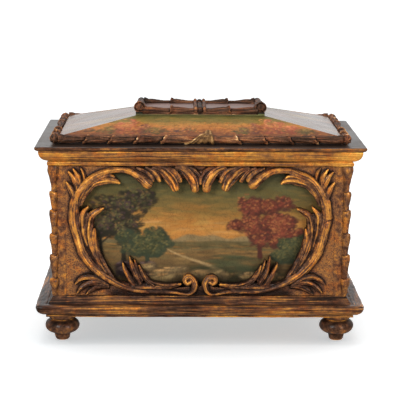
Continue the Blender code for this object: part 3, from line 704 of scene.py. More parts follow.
def ground_board(loop, half):
    """Board with an opening: outer rectangle, inner loop, flat front and back."""
    lo, hi = Z_BODY + 0.3, Z_WALL_TOP
    cz = CART_Z
    ang = np.arctan2(loop[:, 1] - cz, loop[:, 0])
    corner = [math.atan2(z - cz, x) for x in (-half, half) for z in (lo, hi)]
    allang = np.unique(np.concatenate([np.linspace(-math.pi, math.pi, 400, endpoint=False), corner]))
    order = np.argsort(ang)
    rad = np.hypot(loop[:, 0], loop[:, 1] - cz)
    r_in = np.interp(allang, ang[order], rad[order], period=2 * math.pi)
    c, s = np.cos(allang), np.sin(allang)
    r_out = np.minimum(half / np.maximum(np.abs(c), 1e-9),
                       np.where(s > 0, (hi - cz), (cz - lo)) / np.maximum(np.abs(s), 1e-9))
    m = len(allang)

    def ring(r, n):
        return np.stack([r * c, np.full(m, n), cz + r * s], 1)

    v = np.vstack([ring(r_in, 0.0), ring(r_out, 0.0), ring(r_out, FRAME_IN), ring(r_in, FRAME_IN)])
    return v, grid_quads(4, m, close_n=True, close_m=True)


def carve(name, half, squeeze, top_pair, slim, relief):
    """The whole frame as one skin, in (x, n, z): n points out of the board."""
    parts = Parts()
    left = on_board(np.column_stack([np.array(EDGE), np.ones(len(EDGE)), np.ones(len(EDGE))]))
    left[:, :2] = squeeze(left[:, :2])
    loop = np.vstack([left[:, :2], (left[:, :2] * (-1, 1))[-2:0:-1]])
    parts.add(*ground_board(spline(np.vstack([loop, loop[:1]]), 1.5)[:-1], half))
    r = np.random.default_rng(11)
    # for each spot of the board, the strand that lies uppermost there: 1 on its crest, 0 at its foot; the material
    # turns this into painted highlight on crests and painted shade at feet
    cell = 0.5
    peak = np.full((int(2 * half / cell) + 2, int(166 / cell)), -9.0)
    crest, tone, grain = np.zeros(peak.shape), np.zeros(peak.shape), np.zeros((*peak.shape, 3))
    at_x, at_z = np.arange(peak.shape[0]) * cell - half, np.arange(peak.shape[1]) * cell + Z_BODY
    for k, (path, section, knob, *own) in enumerate(STROKES + (STROKES_TOP if top_pair else [])):
        for sign in (1, -1):
            p = on_board(path)
            p[:, :2] = squeeze(p[:, :2])
            p[:, 2] *= slim
            p[:, 3] *= relief(p[:, 0])
            p[1:, :2] += r.normal(0, 0.25, (len(p) - 1, 2))
            p[:, 0] *= sign
            line = centre_line(p, knob)
            parts.add(*stroke(line, section, 500 + k, sign))
            way = np.gradient(line[:, :2], axis=0)
            far = np.concatenate([[0.0], np.cumsum(np.linalg.norm(way[1:], axis=1))])
            way = way / np.maximum(np.linalg.norm(way, axis=1), 1e-6)[:, None]
            lean = LEAN.get(section, 0.0) * sign
            part = far / max(far[-1], 1.0) - 0.55 if far[-1] < 70 else 0.0 * far
            for (x, z, w, top), (dx, dz), run, tip in zip(line, way, far, part):
                i = slice(max(0, int((x - w + half) / cell)), max(0, int((x + w + half) / cell) + 2))
                j = slice(max(0, int((z - w - Z_BODY) / cell)), max(0, int((z + w - Z_BODY) / cell) + 2))
                d = np.minimum(1.0, np.hypot(at_x[i, None] - x, at_z[None, j] - z) / max(w, 0.6))
                up = np.where(d < 1, top - 1.15 * w * (1 - np.sqrt(1 - d * d)), -9.0)
                over = up > peak[i, j]
                peak[i, j] = np.where(over, up, peak[i, j])
                off = np.minimum(1.0, np.hypot(at_x[i, None] - x + dz * w * lean, at_z[None, j] - z - dx * w * lean) / max(w, 0.6))
                side = (at_z[None, j] - z) * dx - (at_x[i, None] - x) * dz
                grain[i, j] = np.where(over[:, :, None], np.stack([side, np.full(side.shape, run), np.full(side.shape, 7.3 * k + sign)], 2), grain[i, j])
                crest[i, j] = np.where(over, 1 - off ** 1.7, crest[i, j])
                tone[i, j] = np.where(over, (own[0] if own else 0.0) + 0.20 * tip - 0.01, tone[i, j])
    me = parts.mesh(name)
    size = 0.00066
    me = evaluated(me, ("REMESH", {"mode": "VOXEL", "voxel_size": size}))
    relaxed(me, 3)
    co = coords(me) * 1000.0
    # gouge marks and an uneven, hand-worked skin
    out = normals(me)
    face = np.clip(out[:, 1], 0, 1)
    co = co + out * (0.16 * waves(co[:, 0], co[:, 2], 5, 9.0) + 0.10 * waves(co[:, 0], co[:, 2], 6, 3.6))[:, None] * face[:, None]
    set_coords(me, co * 0.001)
    budget = 185000
    tris = 2 * len(me.polygons)
    if tris > budget:
        me = evaluated(me, ("DECIMATE", {"ratio": budget / tris}))
    co = coords(me) * 1000.0
    border = (np.clip((half - np.abs(co[:, 0]) - 0.8) / 3.0, 0, 1) * np.clip((co[:, 2] - Z_BODY - 1.0) / 3.0, 0, 1)
              * np.clip((Z_WALL_TOP - co[:, 2] - 0.7) / 3.0, 0, 1))
    mark_wear_and_shade(me, 2, 46, border)
    out = normals(me)
    # how much carving stands around each point of the ground: painted shade beside the carving, and along the bottom of
    # the middle
    i = np.clip((co[:, 0] + half).astype(int), 0, int(2 * half))
    j = np.clip((co[:, 2] - Z_BODY).astype(int), 0, 164)
    near = np.zeros((int(2 * half) + 1, 165))
    near[i[co[:, 1] > 1.2], j[co[:, 1] > 1.2]] = 1.0
    for _ in range(9):
        near = (near + np.roll(near, 1, 0) + np.roll(near, -1, 0) + np.roll(near, 1, 1) + np.roll(near, -1, 1)) / 5
    low = np.clip((70.0 - co[:, 2]) / 8.0, 0, 1) * np.clip((half * 0.72 - np.abs(co[:, 0])) / 12.0, 0, 1)
    put(me, "near", np.maximum(np.clip(near[i, j] * 1.7, 0, 1.2), low * 2.5))
    on_ground = (np.abs(co[:, 1]) < 0.7) & (out[:, 1] > 0.8)
    put(me, "ground", averaged(on_ground.astype(float), neighbours(me)))
    # height out of the board; the material paints shade low down and inside the opening, lighter higher up
    put(me, "lift", np.clip(co[:, 1] / 8.0, -1, 1.3))
    i = np.clip(((co[:, 0] + half) / cell + 0.5).astype(int), 0, peak.shape[0] - 1)
    j = np.clip(((co[:, 2] - Z_BODY) / cell + 0.5).astype(int), 0, peak.shape[1] - 1)
    near_top = np.clip((co[:, 1] - peak[i, j] + 2.6) / 1.6, 0, 1)
    put(me, "crest", averaged(crest[i, j] * near_top, neighbours(me)))
    put_vector(me, "grain", grain[i, j])
    volute = np.clip((26.0 - np.abs(co[:, 0])) / 4.0, 0, 1) * (co[:, 2] < 92)
    put(me, "tone", tone[i, j] - 0.12 * np.clip((128.0 - co[:, 2]) / 40.0, 0, 1)
        - 0.10 * np.clip((82.0 - co[:, 2]) / 12.0, 0, 1) + 0.09 * volute)
    ang = np.arctan2(loop[:, 1] - CART_Z, loop[:, 0])
    order = np.argsort(ang)
    rad = np.interp(np.arctan2(co[:, 2] - CART_Z, co[:, 0]), ang[order], np.hypot(loop[:, 0], loop[:, 1] - CART_Z)[order], period=2 * math.pi)
    depth = rad - np.hypot(co[:, 0], co[:, 2] - CART_Z)
    put(me, "inner", np.clip((depth - 5.0) / 4.0, 0, 1) * np.clip((170.0 - co[:, 2]) / 10.0, 0, 1) * (1 - volute))
    smooth(me)
    return me


def on_side(me, name, dist, turn):
    """Board drawn in (x, n, z) stood up on one side of the case."""
    out = me.copy()
    out.name = name
    co = coords(out) * 1000.0
    v = np.stack([co[:, 0], -(dist + co[:, 1]), co[:, 2]], 1)
    set_coords(out, turned_about_z(v, turn) * 0.001)
    if volume(out) < 0:
        out.flip_normals()
    return out


def no_squeeze(p):
    return p


def side_squeeze(p):
    """Draws the scrolls in to the narrow ends: the corners keep more of their width."""
    out = p.copy()
    d = 165.5 - np.abs(p[:, 0])
    out[:, 0] = -(85.5 - (0.683 * d - 0.001008 * d * d))
    return out


def full_relief(x):
    return np.ones(len(x))


def low_corners(x):
    """The frames of the ends are cut flatter towards the posts."""
    return np.interp(np.abs(x), (28.0, 64.0), (0.85, 0.36))


long_frame = carve("carved_long", 165.5, no_squeeze, True, 1.0, full_relief)
short_frame = carve("carved_short", 85.5, side_squeeze, False, 0.80, low_corners)
for side, (turn, half, dist) in SIDES.items():
    src = long_frame if side in ("front", "rear") else short_frame
    me = on_side(src, "carved_frame_" + side, dist, turn)
    if side == "front":
        co = coords(me) * 1000.0
        t = np.clip((co[:, 0] - 152.6) / 17.6, 0, 1)
        off = np.hypot(co[:, 2] - (151.6 + 8.2 * t + 0.7 * np.sin(9.0 * t)), np.minimum(0, co[:, 0] - 152.6) + np.maximum(0, co[:, 0] - 170.2))
        gap = np.exp(-(off / 0.75) ** 2) * (co[:, 1] < -dist)
        co[:, 1] += 1.0 * gap
        set_coords(me, co * 0.001)
        old = np.empty(len(co), np.float32)
        me.attributes["tone"].data.foreach_get("value", old)
        put(me, "tone", old - 0.45 * gap)
    show("carving_" + side, me, CARVED, "case", "gilt_wood", "carved_frame_" + side)

# ----------------------------------------------------------------- mouldings
BASE = [(-40.0, 35.0), (-40.0, 48.0), (-20.3, 48.0), (-20.3, 57.2), (0.6, 57.2), (1.1, 56.2), (2.3, 54.2), (3.8, 51.9), (5.2, 50.0),
        (5.9, 49.0), (6.6, 48.3), (7.4, 48.4), (8.4, 48.8), (12.0, 49.2), (16.0, 49.4), (18.6, 49.3), (20.2, 48.7), (21.2, 47.6),
        (21.5, 46.2), (21.2, 44.3), (20.3, 42.1), (18.7, 40.0), (16.5, 38.2), (14.0, 36.9), (11.8, 36.2), (10.2, 35.8), (8.9, 35.5), (8.6, 35.1), (8.9, 34.7), (9.0, 32.9), (8.6, 32.2), (4.0, 32.2), (2.0, 35.0)]
CORNICE = [(-20.0, 220.8), (-20.0, 240.2), (15.6, 240.2), (15.5, 238.2), (14.9, 235.6), (13.9, 233.2), (12.3, 231.0),
           (10.1, 229.2), (7.8, 228.0), (6.2, 227.5), (4.3, 226.9), (3.9, 226.4), (4.6, 226.0), (5.6, 225.6), (5.9, 224.8), (5.8, 222.6),
           (5.3, 221.5), (4.2, 221.0), (1.8, 220.8)]
LEDGE = [(-20.0, 240.5), (-20.0, 246.0), (19.0, 246.0), (19.6, 245.6), (19.8, 244.6), (19.5, 243.2), (18.4, 241.8),
         (16.8, 240.9), (16.0, 240.5)]


def refined(profile, step, soft_from):
    """Closed outline with short edges; corners further out than soft_from are eased."""
    p = np.asarray(profile, float)
    out = []
    for a, b in zip(p, np.roll(p, -1, axis=0)):
        n = max(1, int(math.ceil(np.linalg.norm(b - a) / step))) if max(a[0], b[0]) > soft_from else 1
        out.append(a + (b - a) * np.linspace(0, 1, n, endpoint=False)[:, None])
    q = np.vstack(out)
    keep = q[:, 0] <= soft_from
    s = 0.25 * np.roll(q, 1, 0) + 0.5 * q + 0.25 * np.roll(q, -1, 0)
    return np.where(keep[:, None], q, s)


def moulding(name, profile, half, dist, seed, wobble=0.22, step=0.9, soft_from=0.9, pitch=2.2, wear_and_shade=0.0):
    q = refined(profile, step, soft_from)
    d = np.roll(q, -1, 0) - np.roll(q, 1, 0)
    nrm = np.stack([-d[:, 1], d[:, 0]], 1)
    nrm /= np.linalg.norm(nrm, axis=1)[:, None]
    if (q * nrm).sum() < (q.mean(0) * nrm).sum():
        nrm = -nrm
    arc = np.concatenate([[0], np.cumsum(np.linalg.norm(np.diff(q, axis=0), axis=1))])
    s = np.linspace(-1, 1, int(2 * half / pitch))
    X, A = np.meshgrid(s * half, arc, indexing="ij")
    live = (q[:, 0] > soft_from + 0.2)[None, :] * np.clip((1 - np.abs(s)) * 12, 0, 1)[:, None]
    w = wobble * (waves(X, A * 2.5, seed, 60.0) + 0.5 * waves(X, A * 3, seed + 1, 14.0)) * live
    # small knocks on the outer edges
    r = np.random.default_rng(seed + 9)
    for _ in range(9):
        k = r.integers(len(q))
        w -= 0.7 * np.exp(-((X - r.uniform(-half, half)) / r.uniform(1.5, 4)) ** 2 - ((A - arc[k]) / 2.0) ** 2) * live
    u = q[None, :, 0] + w * nrm[None, :, 0]
    # the mitred corners are rubbed round
    u = u - wear_and_shade * np.exp(-((1 - np.abs(s)) * half / 4.0) ** 2)[:, None] * np.clip((q[:, 0] - 9.0) / 8.0, 0, 1)[None, :]
    z = q[None, :, 1] + w * nrm[None, :, 1]
    rings = np.stack([s[:, None] * (half + u - 0.2), -(dist + u), z], 2)
    n, m = len(s), len(q)
    me = mesh_of(name, rings.reshape(-1, 3), grid_quads(n, m, close_m=True), np.arange(m)[::-1], (n - 1) * m + np.arange(m))
    mark_wear_and_shade(me, 2, 10, np.repeat(np.clip(((1 - np.abs(s)) * half - 1.0) / 5.0, 0, 1), m))
    if wear_and_shade:
        # darker slope; painted shade on the flat top, in both quirks and along the top edge under the wall; lighter
        # gilt torus and lower edge
        shade = (-0.02 * ((q[:, 0] > 17.5) & (q[:, 1] > 41)) - 0.17 * ((q[:, 0] > 4.6) & (q[:, 0] < 16.6) & (q[:, 1] > 47.5) & (q[:, 1] < 50.6))
                 - 0.16 * ((q[:, 0] < 12.6) & (q[:, 1] > 35.0) & (q[:, 1] < 36.5)) + 0.12 * ((q[:, 1] < 35.0) & (q[:, 0] > 5)) + 0.08 * ((q[:, 0] > 12.6) & (q[:, 1] < 42.2)) - 0.05 * (q[:, 1] > 50.6) - 0.30 * (q[:, 1] > 55.6))
        shade = 0.25 * np.roll(shade, 1) + 0.5 * shade + 0.25 * np.roll(shade, -1)
        put(me, "tone", np.broadcast_to(shade, X.shape).ravel())
    else:
        # the ends keep more of their leaf
        put(me, "tone", (0.22 * np.exp(-((half - np.abs(X) - 10.0) / 17.0) ** 2) - 0.025 + 0.07 * waves(X, A * 0.3, seed + 5, 70.0)).ravel())
    put_vector(me, "run", np.stack([X.ravel() + seed * 37.0, np.broadcast_to(arc, X.shape).ravel(), np.full(X.size, seed * 3.1)], 1))
    smooth(me, 50)
    return me


for k, (side, (turn, half, dist)) in enumerate(SIDES.items()):
    me = turned_mesh(moulding("base_" + side, BASE, half, dist, 20 + k, wobble=0.3, step=0.7, wear_and_shade=1.4), "base_" + side, turn)
    show("base_" + side, me, BASE_M, "case", "gilt_wood", "base_moulding_" + side)
    me = turned_mesh(moulding("cornice_" + side, CORNICE, half, dist, 40 + k, soft_from=1.9), "cornice_" + side, turn)
    show("cornice_gilt_" + side, me, [CORNICE_M, INSIDE_X if half > 150 else INSIDE_Y], "case", "gilt_wood", "cornice_" + side)
    face = np.empty(len(me.polygons) * 3, np.float32)
    me.polygons.foreach_get("normal", face)
    inward = face.reshape(-1, 3) @ np.array([-math.sin(math.radians(turn)), math.cos(math.radians(turn)), 0.0])
    me.polygons.foreach_set("material_index", (inward > 0.8).astype(np.int32))
    if side != "rear":
        me = turned_mesh(moulding("ledge_" + side, LEDGE, half, dist, 60 + k, wobble=0.12, soft_from=14.0), "ledge_" + side, turn)
        board = show("ledge_board_" + side, me, [VARNISH_X if half > 150 else VARNISH_Y, EDGE_M], "case", "varnished_wood", "ledge_" + side)
        face = np.empty(len(me.polygons) * 3, np.float32)
        me.polygons.foreach_get("normal", face)
        me.polygons.foreach_set("material_index", (np.abs(face.reshape(-1, 3)[:, 2]) < 0.86).astype(np.int32))

# ----------------------------------------------------------------- corner husks
MOUTHS = [57.5, 79.5, 109.6, 135.9, 164.8, 188.6, 220.0]


def core_reach(c, s):
    """Distance from the husk centre to the L-shaped post along (c, s); +x and +y point outwards."""
    best = np.full(c.shape, 1e9)
    for x0, x1, y0, y1 in ((-10.7, 5.5, -4.2, 5.5), (-4.2, 5.5, -10.7, 5.5)):
        rx = np.where(c > 0, x1, -x0) / np.maximum(np.abs(c), 1e-9)
        ry = np.where(s > 0, y1, -y0) / np.maximum(np.abs(s), 1e-9)
        best = np.where(best > 1e8, np.minimum(rx, ry), np.maximum(best, np.minimum(rx, ry)))
    return best


def corner_husks(name, sx, sy, seed):
    phi = np.linspace(0, 2 * math.pi, 144, endpoint=False)
    z = np.arange(57.5, 220.51, 0.62)
    z[-1] = 220.5
    Z, P = np.meshgrid(z, phi, indexing="ij")
    c, s = np.cos(P), np.sin(P)
    rise = Z - 0.9 * np.cos(6 * (P - math.pi / 4)) - 1.0 * waves(P * 8, Z, seed, 18.0)
    r = np.zeros(Z.shape)
    for a, b in zip(MOUTHS[:-1], MOUTHS[1:]):
        t = np.clip((rise - a) / (b - a), 0, 1)
        inside = (rise >= a) & (rise < b)
        if a == MOUTHS[0]:
            inside |= rise < a
        if b == MOUTHS[-1]:
            inside |= rise >= b
        flare = 2.6 + (3.1 + 0.5 * (140.0 - Z) / 80.0) * np.interp(t, (0, 0.2, 0.5, 0.72, 0.86, 1.0), (0, 0.10, 0.48, 0.85, 1.0, 0.86))
        if b == MOUTHS[-1]:
            flare = flare + 1.9 * np.clip((Z - 194.0) / 20.0, 0, 1) ** 1.3
        r = np.where(inside, flare, r)
    r = r + 0.20 * waves(P * 9, Z, seed + 3, 8.0) + 0.12 * waves(P * 14, Z * 0.4, seed + 4, 5.0)
    # a round string of husks set on the corner of the post, between two grooves
    lean = 4.2 * (c + s)
    under = lean * lean - (2 * 4.2 ** 2 - r * r)
    bead = np.where((under > 0) & (lean > 0), lean + np.sqrt(np.maximum(under, 0)), 0.0)
    core = core_reach(c, s)
    line = np.exp(-((P - math.pi / 2) / 0.13) ** 2) + np.exp(-(np.minimum(P, 2 * math.pi - P) / 0.13) ** 2)
    face = 0.16 * waves(P * 10, Z * 0.35, seed + 5, 9.0) * np.clip(((c < 0) | (s < 0)) * 1.0, 0, 1)
    inner = (c < 0) & (s < 0)
    front = (c < 0) & (s >= 0)
    flank = (s < 0) & (c >= 0)
    reach = np.where(inner, core, np.maximum(core - 1.3 * line - 0.2 + face, bead))
    reach = np.where(front, np.minimum(reach, 10.7 / np.maximum(-c, 1e-6)), reach)
    reach = np.where(flank, np.minimum(reach, 10.7 / np.maximum(-s, 1e-6)), reach)
    x = sx * (175.5 + reach * c)
    y = sy * (95.5 + reach * s)
    v, q, t = tube(np.stack([x, y, Z], 2))
    me = mesh_of(name, v, q, t)
    keep = (np.clip((10.0 + reach * c) / 2.0, 0, 1) * np.clip((10.0 + reach * s) / 2.0, 0, 1)
            * np.clip((219.0 - Z) / 4.0, 0, 1) * np.clip((Z - 59.0) / 4.0, 0, 1))
    mark_wear_and_shade(me, 2, 12, np.concatenate([keep.ravel(), [0.0, 0.0]]))
    smooth(me, 60)
    return me


for k, (fore, sy) in enumerate((("front", -1), ("rear", 1))):
    for j, (hand, sx) in enumerate((("left", -1), ("right", 1))):
        node = "corner_garland_%s_%s" % (fore, hand)
        show("husks_%s_%s" % (fore, hand), corner_husks(node, sx, sy, 70 + 2 * k + j), POST_M, "case", "gilt_wood", node)

# ----------------------------------------------------------------- feet
FOOT = [(5.0, 44.5), (5.0, 34.7), (17.8, 34.7), (18.4, 33.0), (18.4, 31.2), (17.8, 29.2), (16.6, 27.9), (14.6, 27.5), (13.2, 27.3),
        (13.6, 27.0), (13.9, 26.4), (13.5, 25.7), (12.9, 25.4), (15.6, 25.1), (18.2, 24.1), (20.2, 22.0), (21.3, 18.6), (21.0, 15.8),
        (19.4, 13.0), (16.6, 10.6), (13.2, 9.0), (10.6, 8.2), (10.0, 7.4), (9.8, 6.2), (9.4, 4.2), (8.8, 2.0), (8.1, 0.5), (7.6, 0.0)]


def bun_foot(name, cx, cy, seed):
    p = np.asarray(FOOT)
    body = spline(np.column_stack([p[2:, 0], p[2:, 1]]), 0.7)
    q = np.vstack([p[:2], body])
    phi = np.linspace(0, 2 * math.pi, 56, endpoint=False)
    R, P = np.meshgrid(q[:, 0], phi, indexing="ij")
    Zz = np.broadcast_to(q[:, 1][:, None], R.shape)
    live = (R > 6) & (Zz > 0.6) & (Zz < 34.2)
    R = R + live * (0.22 * waves(P * 14, Zz * 1.3, seed, 22.0) + 0.1 * waves(P * 14, Zz, seed + 1, 7.0))
    v, quads, t = tube(np.stack([cx + R * np.cos(P), cy + R * np.sin(P), Zz], 2))
    me = mesh_of(name, v, quads, t)
    # painted shade on the dish and the shoulder of the bun, gilt ring, lighter and browner underneath with painted
    # light from the floor
    tone = np.interp(coords(me)[:, 2] * 1000.0, (0.6, 2.0, 8.0, 10.0, 14.0, 17.0, 20.0, 24.9, 25.5, 26.9, 27.3, 28.4, 30.0, 34.0),
                     (0.18, 0.0, -0.02, 0.11, 0.07, -0.02, -0.13, -0.21, 0.27, 0.27, -0.24, -0.14, 0.0, 0.0))
    # the feet on the right get a little painted shade
    put(me, "tone", tone - 0.06 * (cx > 0))
    mark_wear_and_shade(me, 2, 8)
    smooth(me, 50)
    return me


for k, (fore, cy) in enumerate((("front", -91.0), ("rear", 91.0))):
    for j, (hand, cx) in enumerate((("left", -171.0), ("right", 171.0))):
        node = "foot_%s_%s" % (fore, hand)
        show("bun_" + node, bun_foot(node, cx, cy, 90 + 2 * k + j), FOOT_M, "case", "gilt_wood", node)


# ----------------------------------------------------------------- garlands
def husk_place(a, phi, joints, slant, ribs):
    """Where a point lies along its husk, 0 at the neck and 1 at the mouth, which faces outwards.
    phi 0 points away from the lid, 90 degrees up."""
    shifted = a + slant * np.sin(phi) + 0.5 * np.cos(ribs * phi)
    joints = np.asarray(joints, float)
    k = np.clip(np.searchsorted(joints, shifted, side="right") - 1, 0, len(joints) - 2)
    return np.clip((shifted - joints[k]) / (joints[k + 1] - joints[k]), 0, 1)


def husk_radius(a, phi, joints, neck, wide, slant, ribs, seed):
    """Radius of a string of husks at distance a from its middle."""
    t = husk_place(a, phi, joints, slant, ribs)
    r = neck + (wide - neck) * t ** 1.1
    r = r + 0.5 * np.exp(-((1 - t) / 0.06) ** 2) - 0.5 * np.exp(-((t - 0.86) / 0.05) ** 2) - 1.2 * np.exp(-(t / 0.06) ** 2)
    body = np.sin(np.pi * np.clip(0.08 + t, 0, 1)) ** 0.5
    twist = phi + 0.8 * t
    r = r - 0.17 * wide * body * (0.5 - 0.5 * np.cos(ribs * twist)) ** 2.2
    r = r - 0.05 * wide * body * np.cos(3 * ribs * twist)
    return r + 0.14 * waves(a, phi * 5, seed, 9.0)


def lip_of(me, joints, slant, ribs, y, z, least=0.0):
    """1 on the rims of the husk mouths, below 0 in the hollows they open on: painted highlight on the rims, painted
    shade in the hollows.
    """
    co = coords(me) * 1000.0
    a, phi = np.abs(co[:, 0]), np.arctan2(co[:, 2] - z, y - co[:, 1])
    t = husk_place(a, phi, joints, slant, ribs)
    rim = np.exp(-((1 - t) / 0.075) ** 2) * (0.75 + 0.5 * waves(a, phi * 6, 9, 14.0))
    return (rim - 1.2 * np.exp(-(t / 0.08) ** 2)) * (a > least) * (a < joints[-1] + 1)


def garland_rings(xs, radius, y, z, seat, around=48):
    """Rings of a rod along x; radius(x, phi). seat(y, z) keeps it off what it is fixed to."""
    phi = np.linspace(0, 2 * math.pi, around, endpoint=False)
    X, P = np.meshgrid(xs, phi, indexing="ij")
    R = radius(X, P)
    Y, Zz = seat(y - R * np.cos(P), z + R * np.sin(P))
    return np.stack([X, Y, Zz], 2)


def against_rim(flat):
    """Rod fixed flat against the lid's rim."""
    return lambda Y, Zz: (np.minimum(Y, flat), Zz)


def over_edge(edge, slope):
    """Rod seated over the edge of the top board, just clear of the slope below it."""
    def seat(Y, Zz):
        into, under = Y + edge, 279.5 - Zz
        inside = (into > 0) & (under > 0)
        Y2 = np.where(inside & (under >= into), -edge, Y)
        Z2 = np.where(inside & (under < into), 279.5, Zz)
        return Y2, np.maximum(Z2, np.minimum(slope(-Y2), 279.5))
    return seat


def finish_garland(me, name, turn, node, lip, centre, cloth=None, end=None):
    co = coords(me) * 1000.0
    put(me, "lip", lip)
    put(me, "cloth", np.zeros(len(lip)) if cloth is None else cloth)
    phi = np.arctan2(co[:, 2] - centre[1], centre[0] - co[:, 1])
    put_vector(me, "run", np.stack([co[:, 0] + 400.0, phi * 5.0 + 20.0, np.full(len(co), centre[0])], 1))
    me = turned_mesh(me, name, turn)
    mark_wear_and_shade(me, 2, 10, 1.0 if end is None else np.clip((end - np.abs(co[:, 0])) / 2.5, 0, 1))
    smooth(me, 60)
    show(name, me, GARLAND_M, "lid", "garland_wood", node)


EAVES_JOINTS = [4.0, 46.5, 79.0, 110.3, 140.7, 172.6]
EAVES_SHORT_JOINTS = [3.0, 33.0, 62.5, 92.5]
RIDGE_JOINTS = [7.6, 38.0, 72.0]


def tie_span(q):
    return 4.6 - 25.0 * q ** 1.1, 13.6 + 3.2 * q


TIE_BACK = 0.26


def tie_rings():
    """Knotted cloth over the middle of the front rod: its loop lies on the slope above, below it spreads between two straps."""
    t = np.linspace(0, 1, 64)
    s = np.linspace(-1, 1, 41)
    T, S = np.meshgrid(t, s, indexing="ij")
    q = np.clip((T - TIE_BACK) / (1 - TIE_BACK), 0, 1)
    back = np.clip((TIE_BACK - T) / TIE_BACK, 0, 1)
    phi = np.radians(118 - 198 * q)
    left, right = tie_span(q)
    left, right = left + 3.0 * back ** 2, right - 1.4 * back ** 2
    X = left + (right - left) * (S + 1) / 2
    width = np.maximum(right - left, 1.0)
    strap = np.exp(-(((1 - np.abs(S)) * width / 2 - 2.0) / 1.5) ** 2)
    folds = 0.6 * np.cos(4.5 * np.pi * S + 1.0) * np.clip(0.3 + q * 1.5, 0, 1)
    R = 5.5 + 1.6 * strap + folds * (1 - strap) + 0.6 * np.exp(-(q / 0.12) ** 2)
    rise = 2.4 * back + 1.3 * np.sin(np.pi * back)
    outer = np.stack([X, -98.5 - R * np.cos(phi) + 11.5 * back, 253.4 + R * np.sin(phi) + rise], 2)
    inner = np.stack([X, -98.5 - 3.4 * np.cos(phi) + 10.6 * back, 253.4 + 3.4 * np.sin(phi) + 2.2 * back], 2)
    rings = np.concatenate([outer, inner[:, ::-1]], axis=1)
    return tube(rings)


def long_slope(d):
    return RIM_TOP + RISE * (LID_Y - d) + 0.6


def short_slope(d):
    return RIM_TOP + RISE / SPREAD * (LID_X - d) + 0.3


